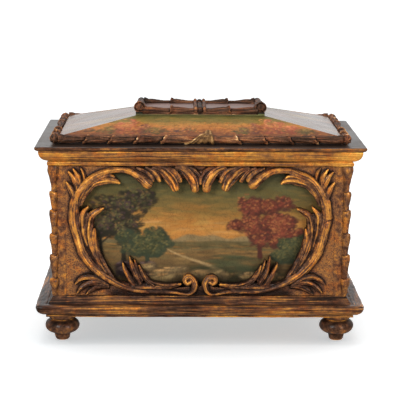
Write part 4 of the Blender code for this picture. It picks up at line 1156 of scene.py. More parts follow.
for k, (side, (turn, half, dist)) in enumerate(SIDES.items()):
    if half > 150:
        xs = np.linspace(-173.4, 173.4, 640)

        def radius(X, P, k=k):
            return husk_radius(np.abs(X), P, EAVES_JOINTS, 3.5, 5.6, 3.2, 5, 100 + k)

        rings = garland_rings(xs, radius, -98.5, 252.8, against_rim(-92.8))
        v, q, t = tube(rings)
        me = mesh_of("eaves_" + side, v, q, t)
        cloth = None
        if side == "front":
            parts = Parts()
            parts.add(v, q, t)
            parts.add(*tie_rings())
            me = evaluated(parts.mesh("eaves_front"), ("REMESH", {"mode": "VOXEL", "voxel_size": 0.00046}))
            relaxed(me, 2)
            me = evaluated(me, ("DECIMATE", {"ratio": min(1.0, 130000 / max(1, 2 * len(me.polygons)))}))
            co = coords(me) * 1000.0
            deg = np.degrees(np.arctan2(co[:, 2] - 253.4, -98.5 - co[:, 1]))
            left, right = tie_span(np.clip((118 - deg) / 198, 0, 1))
            out = np.hypot(co[:, 2] - 253.4, co[:, 1] + 98.5)
            on = (co[:, 0] > left - 0.6) & (co[:, 0] < right + 0.6) & (deg > -82) & ((out > 4.6) & (deg < 119) | (out > 5.9) & (deg < 165))
            rim = np.minimum(co[:, 0] - left, right - co[:, 0])
            cloth = on.astype(float)
        lip = lip_of(me, EAVES_JOINTS, 3.2, 5, -98.5, 252.8, 6.0) * (np.abs(coords(me)[:, 0]) < 0.166)
        if cloth is not None:
            # the right half of the front rod gets painted shade
            lip = np.where(cloth > 0, 0.9 * np.exp(-((rim - 2.0) / 1.6) ** 2), lip - 0.30 * np.clip(co[:, 0] / 80.0, 0, 1))
        finish_garland(me, "eaves_husks_" + side, turn, "eaves_garland_" + side, lip, (-98.5, 252.8), cloth, 171.5)

        xs = np.linspace(-71.8, 71.8, 340)

        def radius(X, P, k=k):
            a = np.abs(X)
            r = husk_radius(a, P, RIDGE_JOINTS, 1.9, 6.7, 1.2, 4, 110 + k)
            # three bands round the middle, the outer two fuller
            bead = np.sqrt(np.clip(1 - ((a - 5.4) / 2.2) ** 2, 0, 1))
            mid = np.sqrt(np.clip(1 - (a / 3.1) ** 2, 0, 1))
            r = np.where(a < 8.0, 3.4, r)
            r = np.maximum(r, np.maximum(3.4 + 2.5 * bead, 3.2 + 2.0 * mid))
            # its foot runs on along the edge of the board
            return np.maximum(r * (1 - 0.36 * np.clip(-np.sin(P), 0, 1)), 4.2 * np.clip(np.cos(P + 1.35) * 1.5, 0, 1))

        high = 280.4 if side == "front" else 279.4
        rings = garland_rings(xs, radius, -41.6, high, over_edge(45.3, long_slope))
        v, q, t = tube(rings)
        me = mesh_of("ridge_" + side, v, q, t)
        across = np.abs(coords(me)[:, 0]) * 1000.0
        lip = -0.30 * np.clip(lip_of(me, RIDGE_JOINTS, 1.2, 4, -41.6, high, 8.5), 0, 1) - 0.52 - 0.7 * np.clip((3.3 - across) / 0.6, 0, 1) + 0.34 * (across > 3.5) * (across < 8.0)
        finish_garland(me, "ridge_husks_" + side, turn, "ridge_garland_" + side, lip, (-41.6, high), None, 71.0)
    else:
        # short rods run past the corners and end in a ball, or in an open husk mouth
        end = 98.5 + 5.4
        xs = np.concatenate([np.linspace(-end, -92.6, 28), np.linspace(-92.4, 92.4, 350), np.linspace(92.6, end, 28)])

        def radius(X, P, k=k):
            a = np.abs(X)
            r = husk_radius(a, P, EAVES_SHORT_JOINTS, 3.4, 5.7, 2.6, 5, 120 + k)
            ball = np.sqrt(np.maximum(0.0, 5.6 ** 2 - (a - 98.4) ** 2))
            ball = ball * (0.95 - 0.07 * np.cos(6 * P) * np.clip((a - 92.5) / 5.0, 0, 1))
            return np.where(a > 92.5, np.maximum(ball, np.where(a < 98, 3.6, 0.4)), r)

        rings = garland_rings(xs, radius, -178.0, 252.8, against_rim(-172.8))
        v, q, t = tube(rings)
        me = mesh_of("eaves_" + side, v, q, t)
        # painted highlight on the husk rims and painted shade in their mouths; darker end balls
        finish_garland(me, "eaves_husks_" + side, turn, "eaves_garland_" + side, 0.45 * lip_of(me, EAVES_SHORT_JOINTS, 2.6, 5, -178.0, 252.8, 4.0) - 0.35 * (np.abs(coords(me)[:, 0]) > 0.0925), (-178.0, 252.8))

        xs = np.concatenate([np.linspace(-47.2, -37.2, 34), np.linspace(-37, 37, 170), np.linspace(37.2, 47.2, 34)])
        fore = 1.0 if side == "left" else -1.0

        def radius(X, P, k=k, fore=fore):
            # one full husk, its mouth towards the front
            a = X * fore
            r = np.interp(a, (-47.2, -42.0, -34.0, -12.0, 18.0, 36.0, 44.0, 47.2), (4.9, 4.3, 4.3, 5.2, 6.0, 5.9, 6.5, 7.1))
            flute = (0.5 - 0.5 * np.cos(6 * P + 0.03 * a)) ** 2
            return r * (1 - 0.13 * flute * np.clip((46 - np.abs(a)) / 5, 0, 1)) + 0.12 * waves(a, P * 5, 130 + k, 9.0) * (np.abs(a) < 46)

        lift = 283.2 + 2.2 * xs * fore / 47.2
        rings = garland_rings(xs, radius, -75.6, lift[:, None], over_edge(80.8, short_slope))

        # the mouths: a rounded lip, a hollow and a bead
        def cap(ring, sign):
            c = ring.mean(0, keepdims=True)
            out = []
            for f, dx in ((0.95, 0.45), (0.90, 0.5), (0.85, 0.1), (0.80, -0.9), (0.75, -1.0), (0.69, -0.2), (0.60, 0.6),
                          (0.46, 1.2), (0.28, 1.5), (0.12, 1.6)):
                r2 = c + (ring - c) * f
                r2[:, 0] = ring[:, 0] + sign * dx
                out.append(r2)
            return np.stack(out)

        rings = np.concatenate([cap(rings[0], -1)[::-1], rings, cap(rings[-1], 1)])
        v, q, t = tube(rings)
        me = mesh_of("ridge_" + side, v, q, t)
        co = coords(me) * 1000.0
        out = np.hypot(co[:, 1] + 75.6, co[:, 2] - 283.2 - 2.2 * co[:, 0] * fore / 47.2)
        at_end = np.clip((np.abs(co[:, 0]) - 44.6) / 1.0, 0, 1)
        # painted shade in the groove round each end boss, a darker disc inside it, the rod darker overall
        lip = at_end * (-0.45 * np.exp(-((out - 5.4) / 0.7) ** 2) - 0.28 * (out < 4.6)) - 0.34
        finish_garland(me, "ridge_husks_" + side, turn, "ridge_garland_" + side, lip, (-75.6, 283.2))


def ridge_strap():
    """Twin band carved across the flat top, from rod to rod."""
    xs = np.linspace(-8.2, 8.2, 42)
    ys = np.linspace(-37.4, 37.4, 120)
    X, Y = np.meshgrid(xs, ys, indexing="ij")
    a = np.abs(X)
    bead = np.sqrt(np.clip(1 - ((a - 5.4) / 2.3) ** 2, 0, 1))
    mid = np.sqrt(np.clip(1 - (a / 3.1) ** 2, 0, 1))
    up = 279.7 + 0.5 * (a < 8.0) + np.maximum(2.6 * bead, 1.9 * mid) + 0.22 * waves(X, Y, 140, 11.0) * (a < 7.8)
    n, m = X.shape
    rings = np.concatenate([np.stack([X, Y, up], 2), np.stack([X, Y, np.full(X.shape, 279.35)], 2)[:, ::-1]], axis=1)
    v, q, t = tube(rings)
    me = mesh_of("ridge_strap", v, q, t)
    put(me, "lip", -0.22 - 0.70 * np.clip((3.3 - np.abs(v[:, 0])) / 0.6, 0, 1))
    put(me, "cloth", np.zeros(len(v)))
    put_vector(me, "run", np.stack([v[:, 1], v[:, 0], np.zeros(len(v))], 1))
    mark_wear_and_shade(me, 2, 10)
    smooth(me, 60)
    return me


show("ridge_strap", ridge_strap(), GARLAND_M, "lid", "garland_wood")


# ----------------------------------------------------------------- paintings
class Canvas:
    """Picture painted in soft dabs, in mm from its lower left corner."""

    def __init__(self, w, h, seed, step=0.8):
        self.step = step
        self.nx, self.ny = int(w / step) + 2, int(h / step) + 2
        self.x = np.arange(self.nx) * step
        self.z = np.arange(self.ny) * step
        self.c = np.zeros((self.ny, self.nx, 3))
        self.h = np.zeros((self.ny, self.nx))
        self.r = np.random.default_rng(seed)

    def gradient(self, stops):
        pos = [p for p, _ in stops]
        for k in range(3):
            self.c[:, :, k] = np.interp(self.z, pos, [c[k] for _, c in stops])[:, None]

    def dab(self, cx, cz, rx, rz, turn, col, alpha, rough=0.5):
        reach = max(rx, rz) * 1.15
        i0, i1 = max(0, int((cx - reach) / self.step)), min(self.nx, int((cx + reach) / self.step) + 2)
        j0, j1 = max(0, int((cz - reach) / self.step)), min(self.ny, int((cz + reach) / self.step) + 2)
        if i1 <= i0 or j1 <= j0:
            return
        X, Zz = np.meshgrid(self.x[i0:i1] - cx, self.z[j0:j1] - cz)
        ca, sa = math.cos(turn), math.sin(turn)
        u, v = (X * ca + Zz * sa) / rx, (-X * sa + Zz * ca) / rz
        m = np.clip((1.08 - np.sqrt(u * u + v * v)) * 2.2, 0, 1)
        if rough:
            m = m * (1 - rough * (0.5 + 0.5 * np.sin(v * 9 + u * 1.3 + self.r.uniform(0, 6.28))))
        m = m * alpha
        self.c[j0:j1, i0:i1] += (np.asarray(col) - self.c[j0:j1, i0:i1]) * m[:, :, None]
        self.h[j0:j1, i0:i1] += m * 0.5 * (0.5 + 0.5 * np.sin(v * 9)) - 0.3 * m * self.h[j0:j1, i0:i1]

    def many(self, n, xr, zr, rx, rz, turn, cols, alpha, spread=0.25, keep=None):
        r = self.r
        for _ in range(n):
            x, z = r.uniform(*xr), r.uniform(*zr)
            if keep is not None and not keep(x, z):
                continue
            c = np.asarray(cols[r.integers(len(cols))]) * (1 + r.normal(0, spread))
            self.dab(x, z, r.uniform(*rx), r.uniform(*rz), r.uniform(*turn), np.clip(c, 0.003, 0.9), alpha * r.uniform(0.5, 1.0))

    def tree(self, x, z, w, h, dark, mids, lights, lean=0.0):
        """Trunk, a few boughs and heaped masses of leaves, dark below and lit from the left above."""
        r = self.r
        for k in range(40):
            t = k / 39
            self.dab(x + lean * t * w + 0.6 * math.sin(5 * t + x), z + t * h * 0.6, 1.3 + 2.4 * (1 - t) ** 1.5, 3.2, 0.0, dark, 0.95, 0.2)
        for side in (-1, 1):
            for k in range(16):
                t = k / 15
                self.dab(x + side * t * w * 0.35, z + h * (0.34 + 0.22 * t), 1.6 * (1.3 - t), 1.4, 0.0, dark, 0.9, 0.2)
        blobs = [(x + lean * w * 0.6 + r.normal(0, 0.26) * w, z + h * r.uniform(0.42, 0.92), w * r.uniform(0.18, 0.34)) for _ in range(15)]
        for bx, bz, br in blobs:
            for _ in range(30):
                a, d = r.uniform(0, 6.28), br * r.uniform(0, 1) ** 0.5
                self.dab(bx + d * math.cos(a), bz + d * math.sin(a) * 0.72, r.uniform(3.0, 6.0), r.uniform(2.2, 4.0), r.uniform(-0.6, 0.6), dark, 0.9)
        blobs.sort(key=lambda b: -b[1])
        for bx, bz, br in blobs:
            for cols, n, up, size in ((mids, 34, 0.12, 1.0), (lights, 16, 0.36, 0.75)):
                for _ in range(n):
                    a, d = r.uniform(0, 6.28), br * r.uniform(0, 1) ** 0.6 * (0.95 - 0.35 * up)
                    c = np.asarray(cols[r.integers(len(cols))]) * (1 + r.normal(0, 0.2))
                    self.dab(bx + d * math.cos(a) - br * up * 0.8, bz + d * math.sin(a) * 0.7 + br * up * 0.7, size * r.uniform(1.4, 3.2),
                             size * r.uniform(1.0, 1.9), r.uniform(-0.8, 0.8), np.clip(c, 0.004, 0.9), 0.7)

    def rock(self, x, z, w, h, dark, mid, light):
        """Heap of low slabs, lit from the left above."""
        r = self.r
        slabs = [(x + r.uniform(-0.5, 0.5) * w, z + h * 0.75 * k / 8 * r.uniform(0.6, 1.0), w * r.uniform(0.16, 0.30) * (1.15 - 0.08 * k)) for k in range(9)]
        for sx, sz, sw in reversed(slabs):
            sh = sw * r.uniform(0.30, 0.48)
            tilt = r.uniform(-0.28, 0.28)
            self.dab(sx + sw * 0.16, sz - sh * 0.35, sw * 1.05, sh * 0.9, tilt, np.asarray(dark) * 0.6, 0.9, 0.2)
            self.dab(sx, sz, sw, sh, tilt, dark, 0.95, 0.3)
            for _ in range(16):
                u, v = r.uniform(-0.75, 0.6), r.uniform(-0.35, 0.75)
                c = np.asarray(light if (v - 0.4 * u) > 0.45 else mid) * (1 + r.normal(0, 0.14))
                self.dab(sx + u * sw * 0.8, sz + v * sh * 0.7, sw * r.uniform(0.16, 0.34), sh * r.uniform(0.14, 0.26), tilt + r.normal(0, 0.15), np.clip(c, 0.004, 0.9), 0.75)

    def sample(self, x, z):
        i = np.clip(x / self.step, 0, self.nx - 1.001)
        j = np.clip(z / self.step, 0, self.ny - 1.001)
        i0, j0 = i.astype(int), j.astype(int)
        fi, fj = (i - i0)[:, None], (j - j0)[:, None]
        c = ((self.c[j0, i0] * (1 - fi) + self.c[j0, i0 + 1] * fi) * (1 - fj)
             + (self.c[j0 + 1, i0] * (1 - fi) + self.c[j0 + 1, i0 + 1] * fi) * fj)
        return c, self.h[j0, i0]


TEAL, MOSS, OLIVE = (0.048, 0.053, 0.027), (0.080, 0.075, 0.027), (0.150, 0.100, 0.028)
HONEY, AMBER, CREAM = (0.285, 0.128, 0.028), (0.36, 0.168, 0.038), (0.38, 0.230, 0.085)
RUSSET, PLUM, EARTH = (0.140, 0.036, 0.021), (0.046, 0.028, 0.030), (0.044, 0.027, 0.013)
LEAF, FERN, NIGHT = (0.032, 0.040, 0.019), (0.048, 0.055, 0.025), (0.010, 0.008, 0.006)


def landscape(w, h, seed, trees):
    """Evening landscape: dark green sky, gold horizon, brown land. w, h in mm."""
    c = Canvas(w, h, seed)
    r = c.r
    hz = 0.40 * h
    c.gradient([(0, (0.040, 0.028, 0.015)), (0.16 * h, (0.075, 0.050, 0.022)), (hz - 4, (0.16, 0.105, 0.038)), (hz, HONEY),
                (0.52 * h, (0.36, 0.205, 0.050)), (0.68 * h, OLIVE), (0.82 * h, MOSS), (h, TEAL)])
    def sky(v):
        return [np.interp(v, (0.40, 0.55, 0.68, 0.82, 1.0), [k[i] for k in (AMBER, HONEY, OLIVE, MOSS, TEAL)]) for i in range(3)]
    for _ in range(int(w * 4)):
        v = r.uniform(0.38, 1.0)
        tone = np.asarray(sky(v + r.normal(0, 0.07))) * (1 + r.normal(0, 0.14))
        c.dab(r.uniform(0, w), v * h, r.uniform(4, 20), r.uniform(1.0, 3.4), r.normal(0, 0.12), np.clip(tone, 0.004, 0.9), 0.5)
    c.many(int(w * 0.30), (0, w), (hz + 2, 0.60 * h), (8, 24), (0.6, 1.5), (-0.08, 0.08), [CREAM, AMBER], 0.40)
    # far hills
    for tier, (lift, col) in enumerate((((0.085), (0.155, 0.125, 0.060)), ((0.05), (0.105, 0.090, 0.042)), ((0.02), (0.075, 0.066, 0.028)))):
        ph = r.uniform(0, 6.28, 4)
        for x in np.arange(-4, w + 4, 1.6):
            top = hz + h * lift * (0.4 + 0.35 * math.sin(x * 0.023 + ph[0]) + 0.25 * math.sin(x * 0.061 + ph[1]) + 0.10 * math.sin(x * 0.19 + ph[2]))
            c.dab(x, top - 5.5, 3.2, 5.5, 0, np.asarray(col) * (1 + r.normal(0, 0.10)), 0.75)
    # near land
    c.many(int(w * 1.5), (0, w), (0.05 * h, hz - 1), (5, 16), (0.9, 2.2), (-0.16, 0.16), [EARTH, (0.12, 0.08, 0.03), (0.095, 0.085, 0.032), (0.17, 0.115, 0.04)], 0.5)
    c.many(int(w * 0.25), (0, w), (0.2 * h, hz - 2), (5, 16), (0.6, 1.2), (-0.1, 0.1), [AMBER, HONEY], 0.35)
    # pale track winding in from the front edge to the far fields
    x0 = w * r.uniform(0.50, 0.58)
    for t in np.linspace(0, 1, 90):
        x = x0 + w * 0.10 * math.sin(4.2 * t + 0.4) - w * 0.07 * t
        z = 0.04 * h + t * (hz - 0.08 * h)
        c.dab(x, z, 11 * (1 - t) ** 1.4 + 1.2, 1.9 * (1 - t) + 0.6, 0.08, np.asarray((0.30, 0.215, 0.095)) * (1 + r.normal(0, 0.12)), 0.6)
    for kind, tx, tz, tw, th in trees:
        x, z, ww, hh = tx * w, tz * h, tw * h, th * h
        if kind == "dark":
            c.tree(x, z, ww, hh, (0.020, 0.019, 0.012), [(0.042, 0.048, 0.020), (0.052, 0.040, 0.022), PLUM], [(0.095, 0.090, 0.032), (0.13, 0.085, 0.03)])
        elif kind == "russet":
            c.tree(x, z, ww, hh, (0.060, 0.022, 0.016), [RUSSET, (0.10, 0.03, 0.017)], [(0.20, 0.065, 0.03), (0.27, 0.11, 0.038)])
        elif kind == "fern":
            c.tree(x, z, ww, hh, (0.030, 0.042, 0.024), [LEAF, FERN], [(0.075, 0.080, 0.032), (0.115, 0.100, 0.034)])
        elif kind == "cream":
            c.rock(x, z, ww, hh, (0.13, 0.095, 0.045), (0.27, 0.20, 0.085), CREAM)
        elif kind == "plum":
            c.rock(x, z, ww, hh, (0.026, 0.018, 0.019), PLUM, (0.135, 0.092, 0.080))
        elif kind == "knoll":
            for _ in range(120):
                u = r.normal(0, 0.36)
                v = r.uniform(0, 1) * max(0.0, 1 - u * u * 2.2)
                c.dab(x + u * ww, z + v * hh, ww * 0.14, hh * 0.07, 0.3 * -u, np.clip(np.asarray(FERN if v > 0.55 else LEAF) * (1 + r.normal(0, 0.2)), 0.004, 0.9), 0.6)
    # foreground grasses and darkened edge
    c.many(int(w * 1.1), (0, w), (0, 0.16 * h), (0.5, 0.9), (1.6, 4.5), (-0.45, 0.45), [NIGHT, EARTH, (0.055, 0.05, 0.02), (0.12, 0.09, 0.03)], 0.7)
    c.c *= (1 - 0.55 * np.clip(1 - c.z / (0.14 * h), 0, 1))[:, None, None] * np.array([0.90, 0.79, 0.76])
    return c


def painted_panel(name, half, dist, seed, window, trees):
    """Thin board with the picture on its outer face."""
    lo, hi = 57.8, 220.2
    wx, z0, z1 = window
    step = 0.85
    xs = np.unique(np.concatenate([[-half, half], np.linspace(-half, -wx, 4), np.arange(-wx, wx, step), np.linspace(wx, half, 4)]))
    zs = np.unique(np.concatenate([[lo, hi], np.arange(z0, z1, step)]))
    c = landscape(2 * wx, z1 - z0, seed, trees)
    X, Zz = np.meshgrid(xs, zs, indexing="ij")
    n, m = X.shape
    front = np.stack([X.ravel(), np.full(X.size, -(dist - 6.7)), Zz.ravel()], 1)
    rim = np.concatenate([np.arange(m), np.arange(1, n) * m + m - 1, (n - 1) * m + np.arange(m - 2, -1, -1), np.arange(n - 2, 0, -1) * m])
    back = front[rim].copy()
    back[:, 1] = -(dist - 9.7)
    k = len(rim)
    side = np.stack([rim, np.roll(rim, -1), n * m + (np.arange(k) + 1) % k, n * m + np.arange(k)], 1)
    centre = np.array([[0.0, -(dist - 9.7), (lo + hi) / 2]])
    v = np.vstack([front, back, centre])
    me = mesh_of(name, v, grid_quads(n, m), side[:, ::-1], fan(n * m + np.arange(k), n * m + k)[:, ::-1])
    col, rel = c.sample(np.clip(v[:, 0] + wx, 0, 2 * wx), np.clip(v[:, 2] - z0, 0, z1 - z0))
    # grime and shade gather along the frame, least at the top
    edge = on_board(np.column_stack([np.array(EDGE), np.ones(len(EDGE)), np.ones(len(EDGE))]))[:, :2]
    edge = edge if half > 150 else side_squeeze(edge)
    edge = np.vstack([edge, (edge * (-1, 1))[-2:0:-1]])
    ang = np.arctan2(edge[:, 1] - CART_Z, edge[:, 0])
    order = np.argsort(ang)
    rad = np.interp(np.arctan2(v[:, 2] - CART_Z, v[:, 0]), ang[order], np.hypot(edge[:, 0], edge[:, 1] - CART_Z)[order], period=2 * math.pi)
    inside = np.clip((rad - np.hypot(v[:, 0], v[:, 2] - CART_Z)) / (34.0 if half > 150 else 22.0), 0, 1)
    depth = np.interp(v[:, 2], (CART_Z - 10.0, CART_Z + 55.0), (0.78, 0.40))
    col = col * (1 - depth * (1 - inside) ** 1.4)[:, None]
    put_colour(me, "paint", np.clip(col, 0, 1))
    put(me, "relief", rel)
    smooth(me, 40)
    return me


PICTURES = {
    "front": (31, [("dark", 0.17, 0.24, 0.44, 0.62), ("dark", 0.07, 0.22, 0.36, 0.50), ("fern", 0.27, 0.20, 0.30, 0.30), ("plum", 0.13, 0.10, 0.60, 0.26),
                   ("russet", 0.76, 0.27, 0.34, 0.50), ("russet", 0.85, 0.24, 0.28, 0.38),
                   ("knoll", 0.64, 0.06, 0.66, 0.24), ("cream", 0.40, 0.10, 0.62, 0.16), ("fern", 0.91, 0.12, 0.26, 0.32), ("cream", 0.78, 0.08, 0.40, 0.10)]),
    "rear": (32, [("dark", 0.86, 0.22, 0.44, 0.66), ("dark", 0.74, 0.20, 0.30, 0.46), ("plum", 0.62, 0.10, 0.34, 0.28),
                  ("russet", 0.26, 0.24, 0.34, 0.46), ("knoll", 0.36, 0.06, 0.60, 0.22), ("fern", 0.12, 0.14, 0.26, 0.34),
                  ("cream", 0.48, 0.12, 0.56, 0.13)]),
    "left": (33, [("dark", 0.78, 0.22, 0.30, 0.60), ("russet", 0.25, 0.26, 0.26, 0.40), ("cream", 0.52, 0.12, 0.44, 0.14), ("knoll", 0.30, 0.05, 0.50, 0.20)]),
    "right": (34, [("dark", 0.20, 0.22, 0.30, 0.60), ("fern", 0.78, 0.20, 0.28, 0.40), ("plum", 0.62, 0.08, 0.42, 0.16), ("russet", 0.90, 0.2, 0.22, 0.34)]),
}
for side, (turn, half, dist) in SIDES.items():
    long = half > 150
    seed, trees = PICTURES[side]
    me = painted_panel("picture_" + side, 165.2 if long else 85.2, dist, seed, (142.0 if long else 66.0, 64.0, 214.0), trees)
    show("picture_" + side, turned_mesh(me, "picture_" + side, turn), PAINTED, "case", "painted_panel", "painted_panel_" + side)


def lid_picture(name, seed):
    """Paint film on a long slope of the lid."""
    rows, cols = ((62, 400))
    c = Canvas(346.0, 54.0, seed)
    r = c.r
    c.gradient([(0, (0.070, 0.035, 0.020)), (8, (0.16, 0.075, 0.032)), (18, (0.36, 0.175, 0.055)), (28, (0.33, 0.20, 0.055)),
                (38, (0.17, 0.145, 0.045)), (54, (0.075, 0.088, 0.032))])
    tones = ((0.090, 0.042, 0.022), (0.20, 0.090, 0.034), (0.36, 0.165, 0.045), (0.36, 0.20, 0.048), (0.20, 0.155, 0.044), (0.115, 0.115, 0.036), (0.070, 0.078, 0.030))
    for _ in range(2600):
        v = r.uniform(0, 54)
        at = v + r.normal(0, 5.0) + 3.0 * math.sin(v * 0.4)
        tone = np.asarray([np.interp(at, (3, 10, 19, 27, 34, 42, 52), [k[i] for k in tones]) for i in range(3)]) * (1 + r.normal(0, 0.18))
        c.dab(r.uniform(0, 346), v, r.uniform(2.5, 13), r.uniform(0.7, 2.2), r.normal(0, 0.15), np.clip(tone, 0.004, 0.9), 0.55)
    for _ in range(16):
        x = r.uniform(20, 326)
        cols_m = [[RUSSET, (0.26, 0.085, 0.04)], [LEAF, MOSS], [PLUM, (0.11, 0.06, 0.05)]][r.integers(3)]
        for _ in range(26):
            c.dab(x + r.normal(0, 5), 10 + abs(r.normal(0, 5.5)), r.uniform(1.2, 3.0), r.uniform(0.8, 1.8), r.uniform(-0.6, 0.6), np.asarray(cols_m[r.integers(2)]) * (1 + r.normal(0, 0.2)), 0.7)
        for _ in range(9):
            c.dab(x + r.normal(0, 4) - 1, 14 + abs(r.normal(0, 5)), r.uniform(0.7, 1.6), r.uniform(0.5, 1.0), r.uniform(-0.6, 0.6), (0.50, 0.28, 0.11), 0.6)
    mids = ([(0.30, 0.095, 0.050), (0.20, 0.060, 0.034)], [(0.11, 0.10, 0.034), (0.070, 0.072, 0.028)], [(0.15, 0.066, 0.046), (0.095, 0.042, 0.034)])
    lits = ([(0.50, 0.205, 0.105), (0.58, 0.29, 0.135)], [(0.26, 0.205, 0.065), (0.19, 0.16, 0.05)], [(0.34, 0.16, 0.085), (0.42, 0.23, 0.11)])
    for x, hh, kind in ((61, 17, 1), (76, 27, 0), (90, 35, 0), (103, 23, 2), (118, 14, 1), (226, 15, 1), (240, 25, 2), (255, 36, 0), (270, 29, 0), (286, 20, 0), (301, 13, 1)):
        for _ in range(84):
            t = r.uniform(0, 1)
            c.dab(x + r.normal(0, 1) * (2.2 + 4.6 * math.sin(math.pi * min(1.0, 1.1 * t))), 6 + t * hh, r.uniform(1.3, 3.2), r.uniform(1.3, 2.8), r.uniform(-0.8, 0.8),
                  np.clip(np.asarray(mids[kind][r.integers(2)]) * (0.70 + 0.45 * t) * (1 + r.normal(0, 0.2)), 0.004, 0.9), 0.6)
        for _ in range(26):
            c.dab(x - 1.6 + r.normal(0, 4.2), 7 + hh * r.uniform(0.35, 1.0), r.uniform(0.8, 2.0), r.uniform(0.8, 1.7), r.uniform(-0.8, 0.8),
                  np.clip(np.asarray(lits[kind][r.integers(2)]) * (1 + r.normal(0, 0.15)), 0.004, 0.9), 0.6)
    for _ in range(900):
        v = r.uniform(2, 34)
        tone = np.asarray([(0.52, 0.27, 0.06), (0.46, 0.22, 0.05), (0.085, 0.040, 0.022), (0.20, 0.075, 0.030), (0.16, 0.125, 0.040)][r.integers(5)])
        c.dab(r.uniform(0, 346), v, r.uniform(0.9, 3.6), r.uniform(0.45, 1.0), r.normal(0.2, 0.5), tone * (1 + r.normal(0, 0.15)), 0.55)
    c.c *= np.stack([np.interp(c.z, (20, 46), pair) for pair in ((1.0, 1.08), (0.72, 0.86), (0.60, 0.72))], 1)[:, None, :]
    d = np.linspace(0.25, LID_Y - TOP_Y - 0.25, rows)
    s = np.linspace(-1, 1, cols)
    D, S = np.meshgrid(d, s, indexing="ij")
    X = S * (LID_X - D * SPREAD - 0.7)
    slope = math.hypot(1, RISE)
    up = np.array([0.0, -RISE, 1.0]) / slope
    base = np.stack([X, -(LID_Y - D), RIM_TOP + RISE * D], 2)
    top = (base + up * 0.42).reshape(-1, 3)
    low = (base + up * 0.04).reshape(-1, 3)
    n, m = D.shape
    rim = np.concatenate([np.arange(m), np.arange(1, n) * m + m - 1, (n - 1) * m + np.arange(m - 2, -1, -1), np.arange(n - 2, 0, -1) * m])
    k = len(rim)
    v = np.vstack([top, low])
    q_top = grid_quads(n, m)
    q_low = grid_quads(n, m)[:, ::-1] + n * m
    side = np.stack([rim, np.roll(rim, -1), n * m + np.roll(rim, -1), n * m + rim], 1)[:, ::-1]
    me = mesh_of(name, v, q_top, q_low, side)
    x_all = np.tile(X.ravel(), 2) + 173.0
    z_all = np.tile((D * slope).ravel(), 2)
    col, rel = c.sample(x_all, z_all)
    put_colour(me, "paint", np.clip(col, 0, 1))
    put(me, "relief", rel)
    smooth(me, 40)
    return me


def board_edge(name, seed):
    """Narrow painted edge of the top board, over the picture on the slope; its upper part runs near-black as painted
    shadow under the rod.
    """
    c = Canvas(162.0, 6.0, seed, 0.5)
    # green at the foot, near-black higher up: painted shadow of the rod above
    c.gradient([(0, (0.080, 0.092, 0.032)), (1.2, (0.060, 0.064, 0.026)), (2.4, (0.020, 0.017, 0.011)), (6, (0.012, 0.010, 0.008))])
    c.many(130, (0, 162), (0, 1.6), (3, 11), (0.5, 1.2), (-0.1, 0.1), [(0.085, 0.10, 0.036), (0.13, 0.12, 0.040), (0.045, 0.045, 0.022), (0.10, 0.07, 0.03)], 0.5)
    x, z = np.linspace(-80.3, 80.3, 200), np.linspace(275.1, 279.1, 8)
    X, Z = np.meshgrid(x, z, indexing="ij")
    bow = 0.06 * waves(X, Z, seed, 20.0)
    rings = np.concatenate([np.stack([X, -45.1 + bow, Z], 2), np.stack([X, np.full(X.shape, -44.65), Z], 2)[:, ::-1]], axis=1)
    v, q, t = tube(rings)
    me = mesh_of(name, v, q, t)
    col, rel = c.sample(v[:, 0] + 80.5, v[:, 2] - 274.8)
    put_colour(me, "paint", np.clip(col, 0, 1))
    put(me, "relief", rel)
    smooth(me, 40)
    return me


show("board_edge_front", board_edge("board_edge_front", 37), PAINTED, "lid", "painted_panel")
show("board_edge_rear", turned_mesh(board_edge("board_edge_rear", 38), "board_edge_rear", 180), PAINTED, "lid", "painted_panel")
show("lid_picture_front", lid_picture("lid_picture_front", 35), PAINTED, "lid", "painted_panel")
show("lid_picture_rear", turned_mesh(lid_picture("lid_picture_rear", 36), "lid_picture_rear", 180), PAINTED, "lid", "painted_panel")


# ----------------------------------------------------------------- carried-over solids
def finish_node(node, material):
    ob = NODES[node]
    ob.data.materials.clear()
    ob.data.materials.append(material)


for side, (turn, half, dist) in SIDES.items():
    long = half > 150
    finish_node("carcass_" + side, INSIDE_X if long else INSIDE_Y)
    finish_node("lid_slope_" + side, VARNISH_X if long else LID_SIDE)
finish_node("ledge_rear", VARNISH_X)
finish_node("lid_top_panel", LID_TOP)
finish_node("bottom_board", INSIDE_X)
for hand in ("left", "right"):
    for node in ("hinge_case_leaf_", "hinge_pin_", "hinge_lid_leaf_"):
        finish_node(node + hand, BRASS)
    for at in ("inner", "outer"):
        finish_node("case_screw_%s_%s" % (hand, at), SCREW_BRASS)
        finish_node("lid_screw_%s_%s" % (hand, at), SCREW_BRASS)

# ----------------------------------------------------------------- stage
world = bpy.data.worlds.new("studio")
bpy.context.scene.world = world
world.use_nodes = True
wt = world.node_tree
# white sweep behind and above, darker room on the camera's side
w_dir = wt.nodes.new("ShaderNodeTexCoord")
w_xyz = wt.nodes.new("ShaderNodeSeparateXYZ")
wt.links.new(w_dir.outputs["Generated"], w_xyz.inputs[0])


def world_span(v, a, b, c, d):
    n = wt.nodes.new("ShaderNodeMapRange")
    n.interpolation_type = "SMOOTHSTEP"
    wt.links.new(v, n.inputs[0])
    for i, x in enumerate((a, b, c, d)):
        n.inputs[i + 1].default_value = x
    return n.outputs[0]


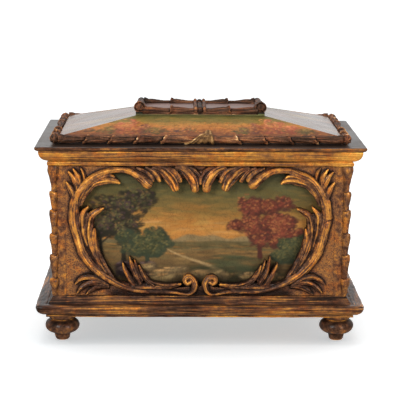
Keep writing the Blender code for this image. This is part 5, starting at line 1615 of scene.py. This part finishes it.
w_max = wt.nodes.new("ShaderNodeMath")
w_max.operation = "MAXIMUM"
wt.links.new(world_span(w_xyz.outputs[1], -0.35, 0.45, 0.16, 1.0), w_max.inputs[0])
wt.links.new(world_span(w_xyz.outputs[2], 0.45, 0.9, 0.0, 0.75), w_max.inputs[1])
w_low = wt.nodes.new("ShaderNodeMath")
w_low.operation = "MULTIPLY"
wt.links.new(w_max.outputs[0], w_low.inputs[0])
wt.links.new(world_span(w_xyz.outputs[2], -0.10, 0.02, 0.28, 1.0), w_low.inputs[1])
wt.nodes["Background"].inputs[0].default_value = (1.0, 1.0, 1.0, 1)
wt.links.new(w_low.outputs[0], wt.nodes["Background"].inputs[1])

floor_me = bpy.data.meshes.new("floor")
floor_me.from_pydata([(-15, -8, 0), (15, -8, 0), (15, 22, 0), (-15, 22, 0)], [], [(0, 1, 2, 3)])
floor = bpy.data.objects.new("floor", floor_me)
bpy.context.scene.collection.objects.link(floor)
fg = Graph("pale_floor")
floor_me.materials.append(fg.finish(Base_Color=fg.mix(fg.noise(3.0), (0.93, 0.93, 0.93, 1), (0.95, 0.95, 0.95, 1)),
                                    Roughness=0.9, Specular_IOR_Level=0.1,
                                    Emission_Color=(0.935, 1.0, 1.03, 1), Emission_Strength=0.485))
floor.visible_glossy = False


def area(name, place, aim, size, power, colour=(1, 1, 1)):
    data = bpy.data.lights.new(name, "AREA")
    data.shape = "RECTANGLE"
    data.size, data.size_y = size
    data.energy = power
    data.color = colour
    ob = bpy.data.objects.new(name, data)
    bpy.context.scene.collection.objects.link(ob)
    ob.location = place
    ob.rotation_euler = (Vector(aim) - Vector(place)).to_track_quat("-Z", "Y").to_euler()
    return ob


off_floor = bpy.data.collections.new("lamps_miss_the_floor")
off_floor.objects.link(floor)
off_floor.collection_objects[0].light_linking.link_state = "EXCLUDE"
for lamp in (area("key", (-1.0, -1.9, 1.05), (0, 0, 0.14), (0.7, 0.7), 50),
             area("fill", (1.3, -1.9, 0.6), (0, 0, 0.14), (0.8, 0.8), 27)):
    lamp.light_linking.receiver_collection = off_floor
area("top", (0, 0.1, 1.7), (0, 0, 0.2), (1.4, 1.0), 9)

cam_data = bpy.data.cameras.new("camera")
cam_data.sensor_width = 36.0
cam_data.lens = 138.87
cam_data.clip_end = 100.0
cam = bpy.data.objects.new("camera", cam_data)
bpy.context.scene.collection.objects.link(cam)
cam.location = (-0.0290, -1.9548, 0.537)
level = Euler((math.radians(79.05), 0.0, math.radians(-0.88))).to_matrix()
cam.rotation_euler = (level @ Matrix.Rotation(math.radians(0.35), 3, "Z")).to_euler()
bpy.context.scene.camera = cam
bpy.context.scene.view_settings.view_transform = "Standard"
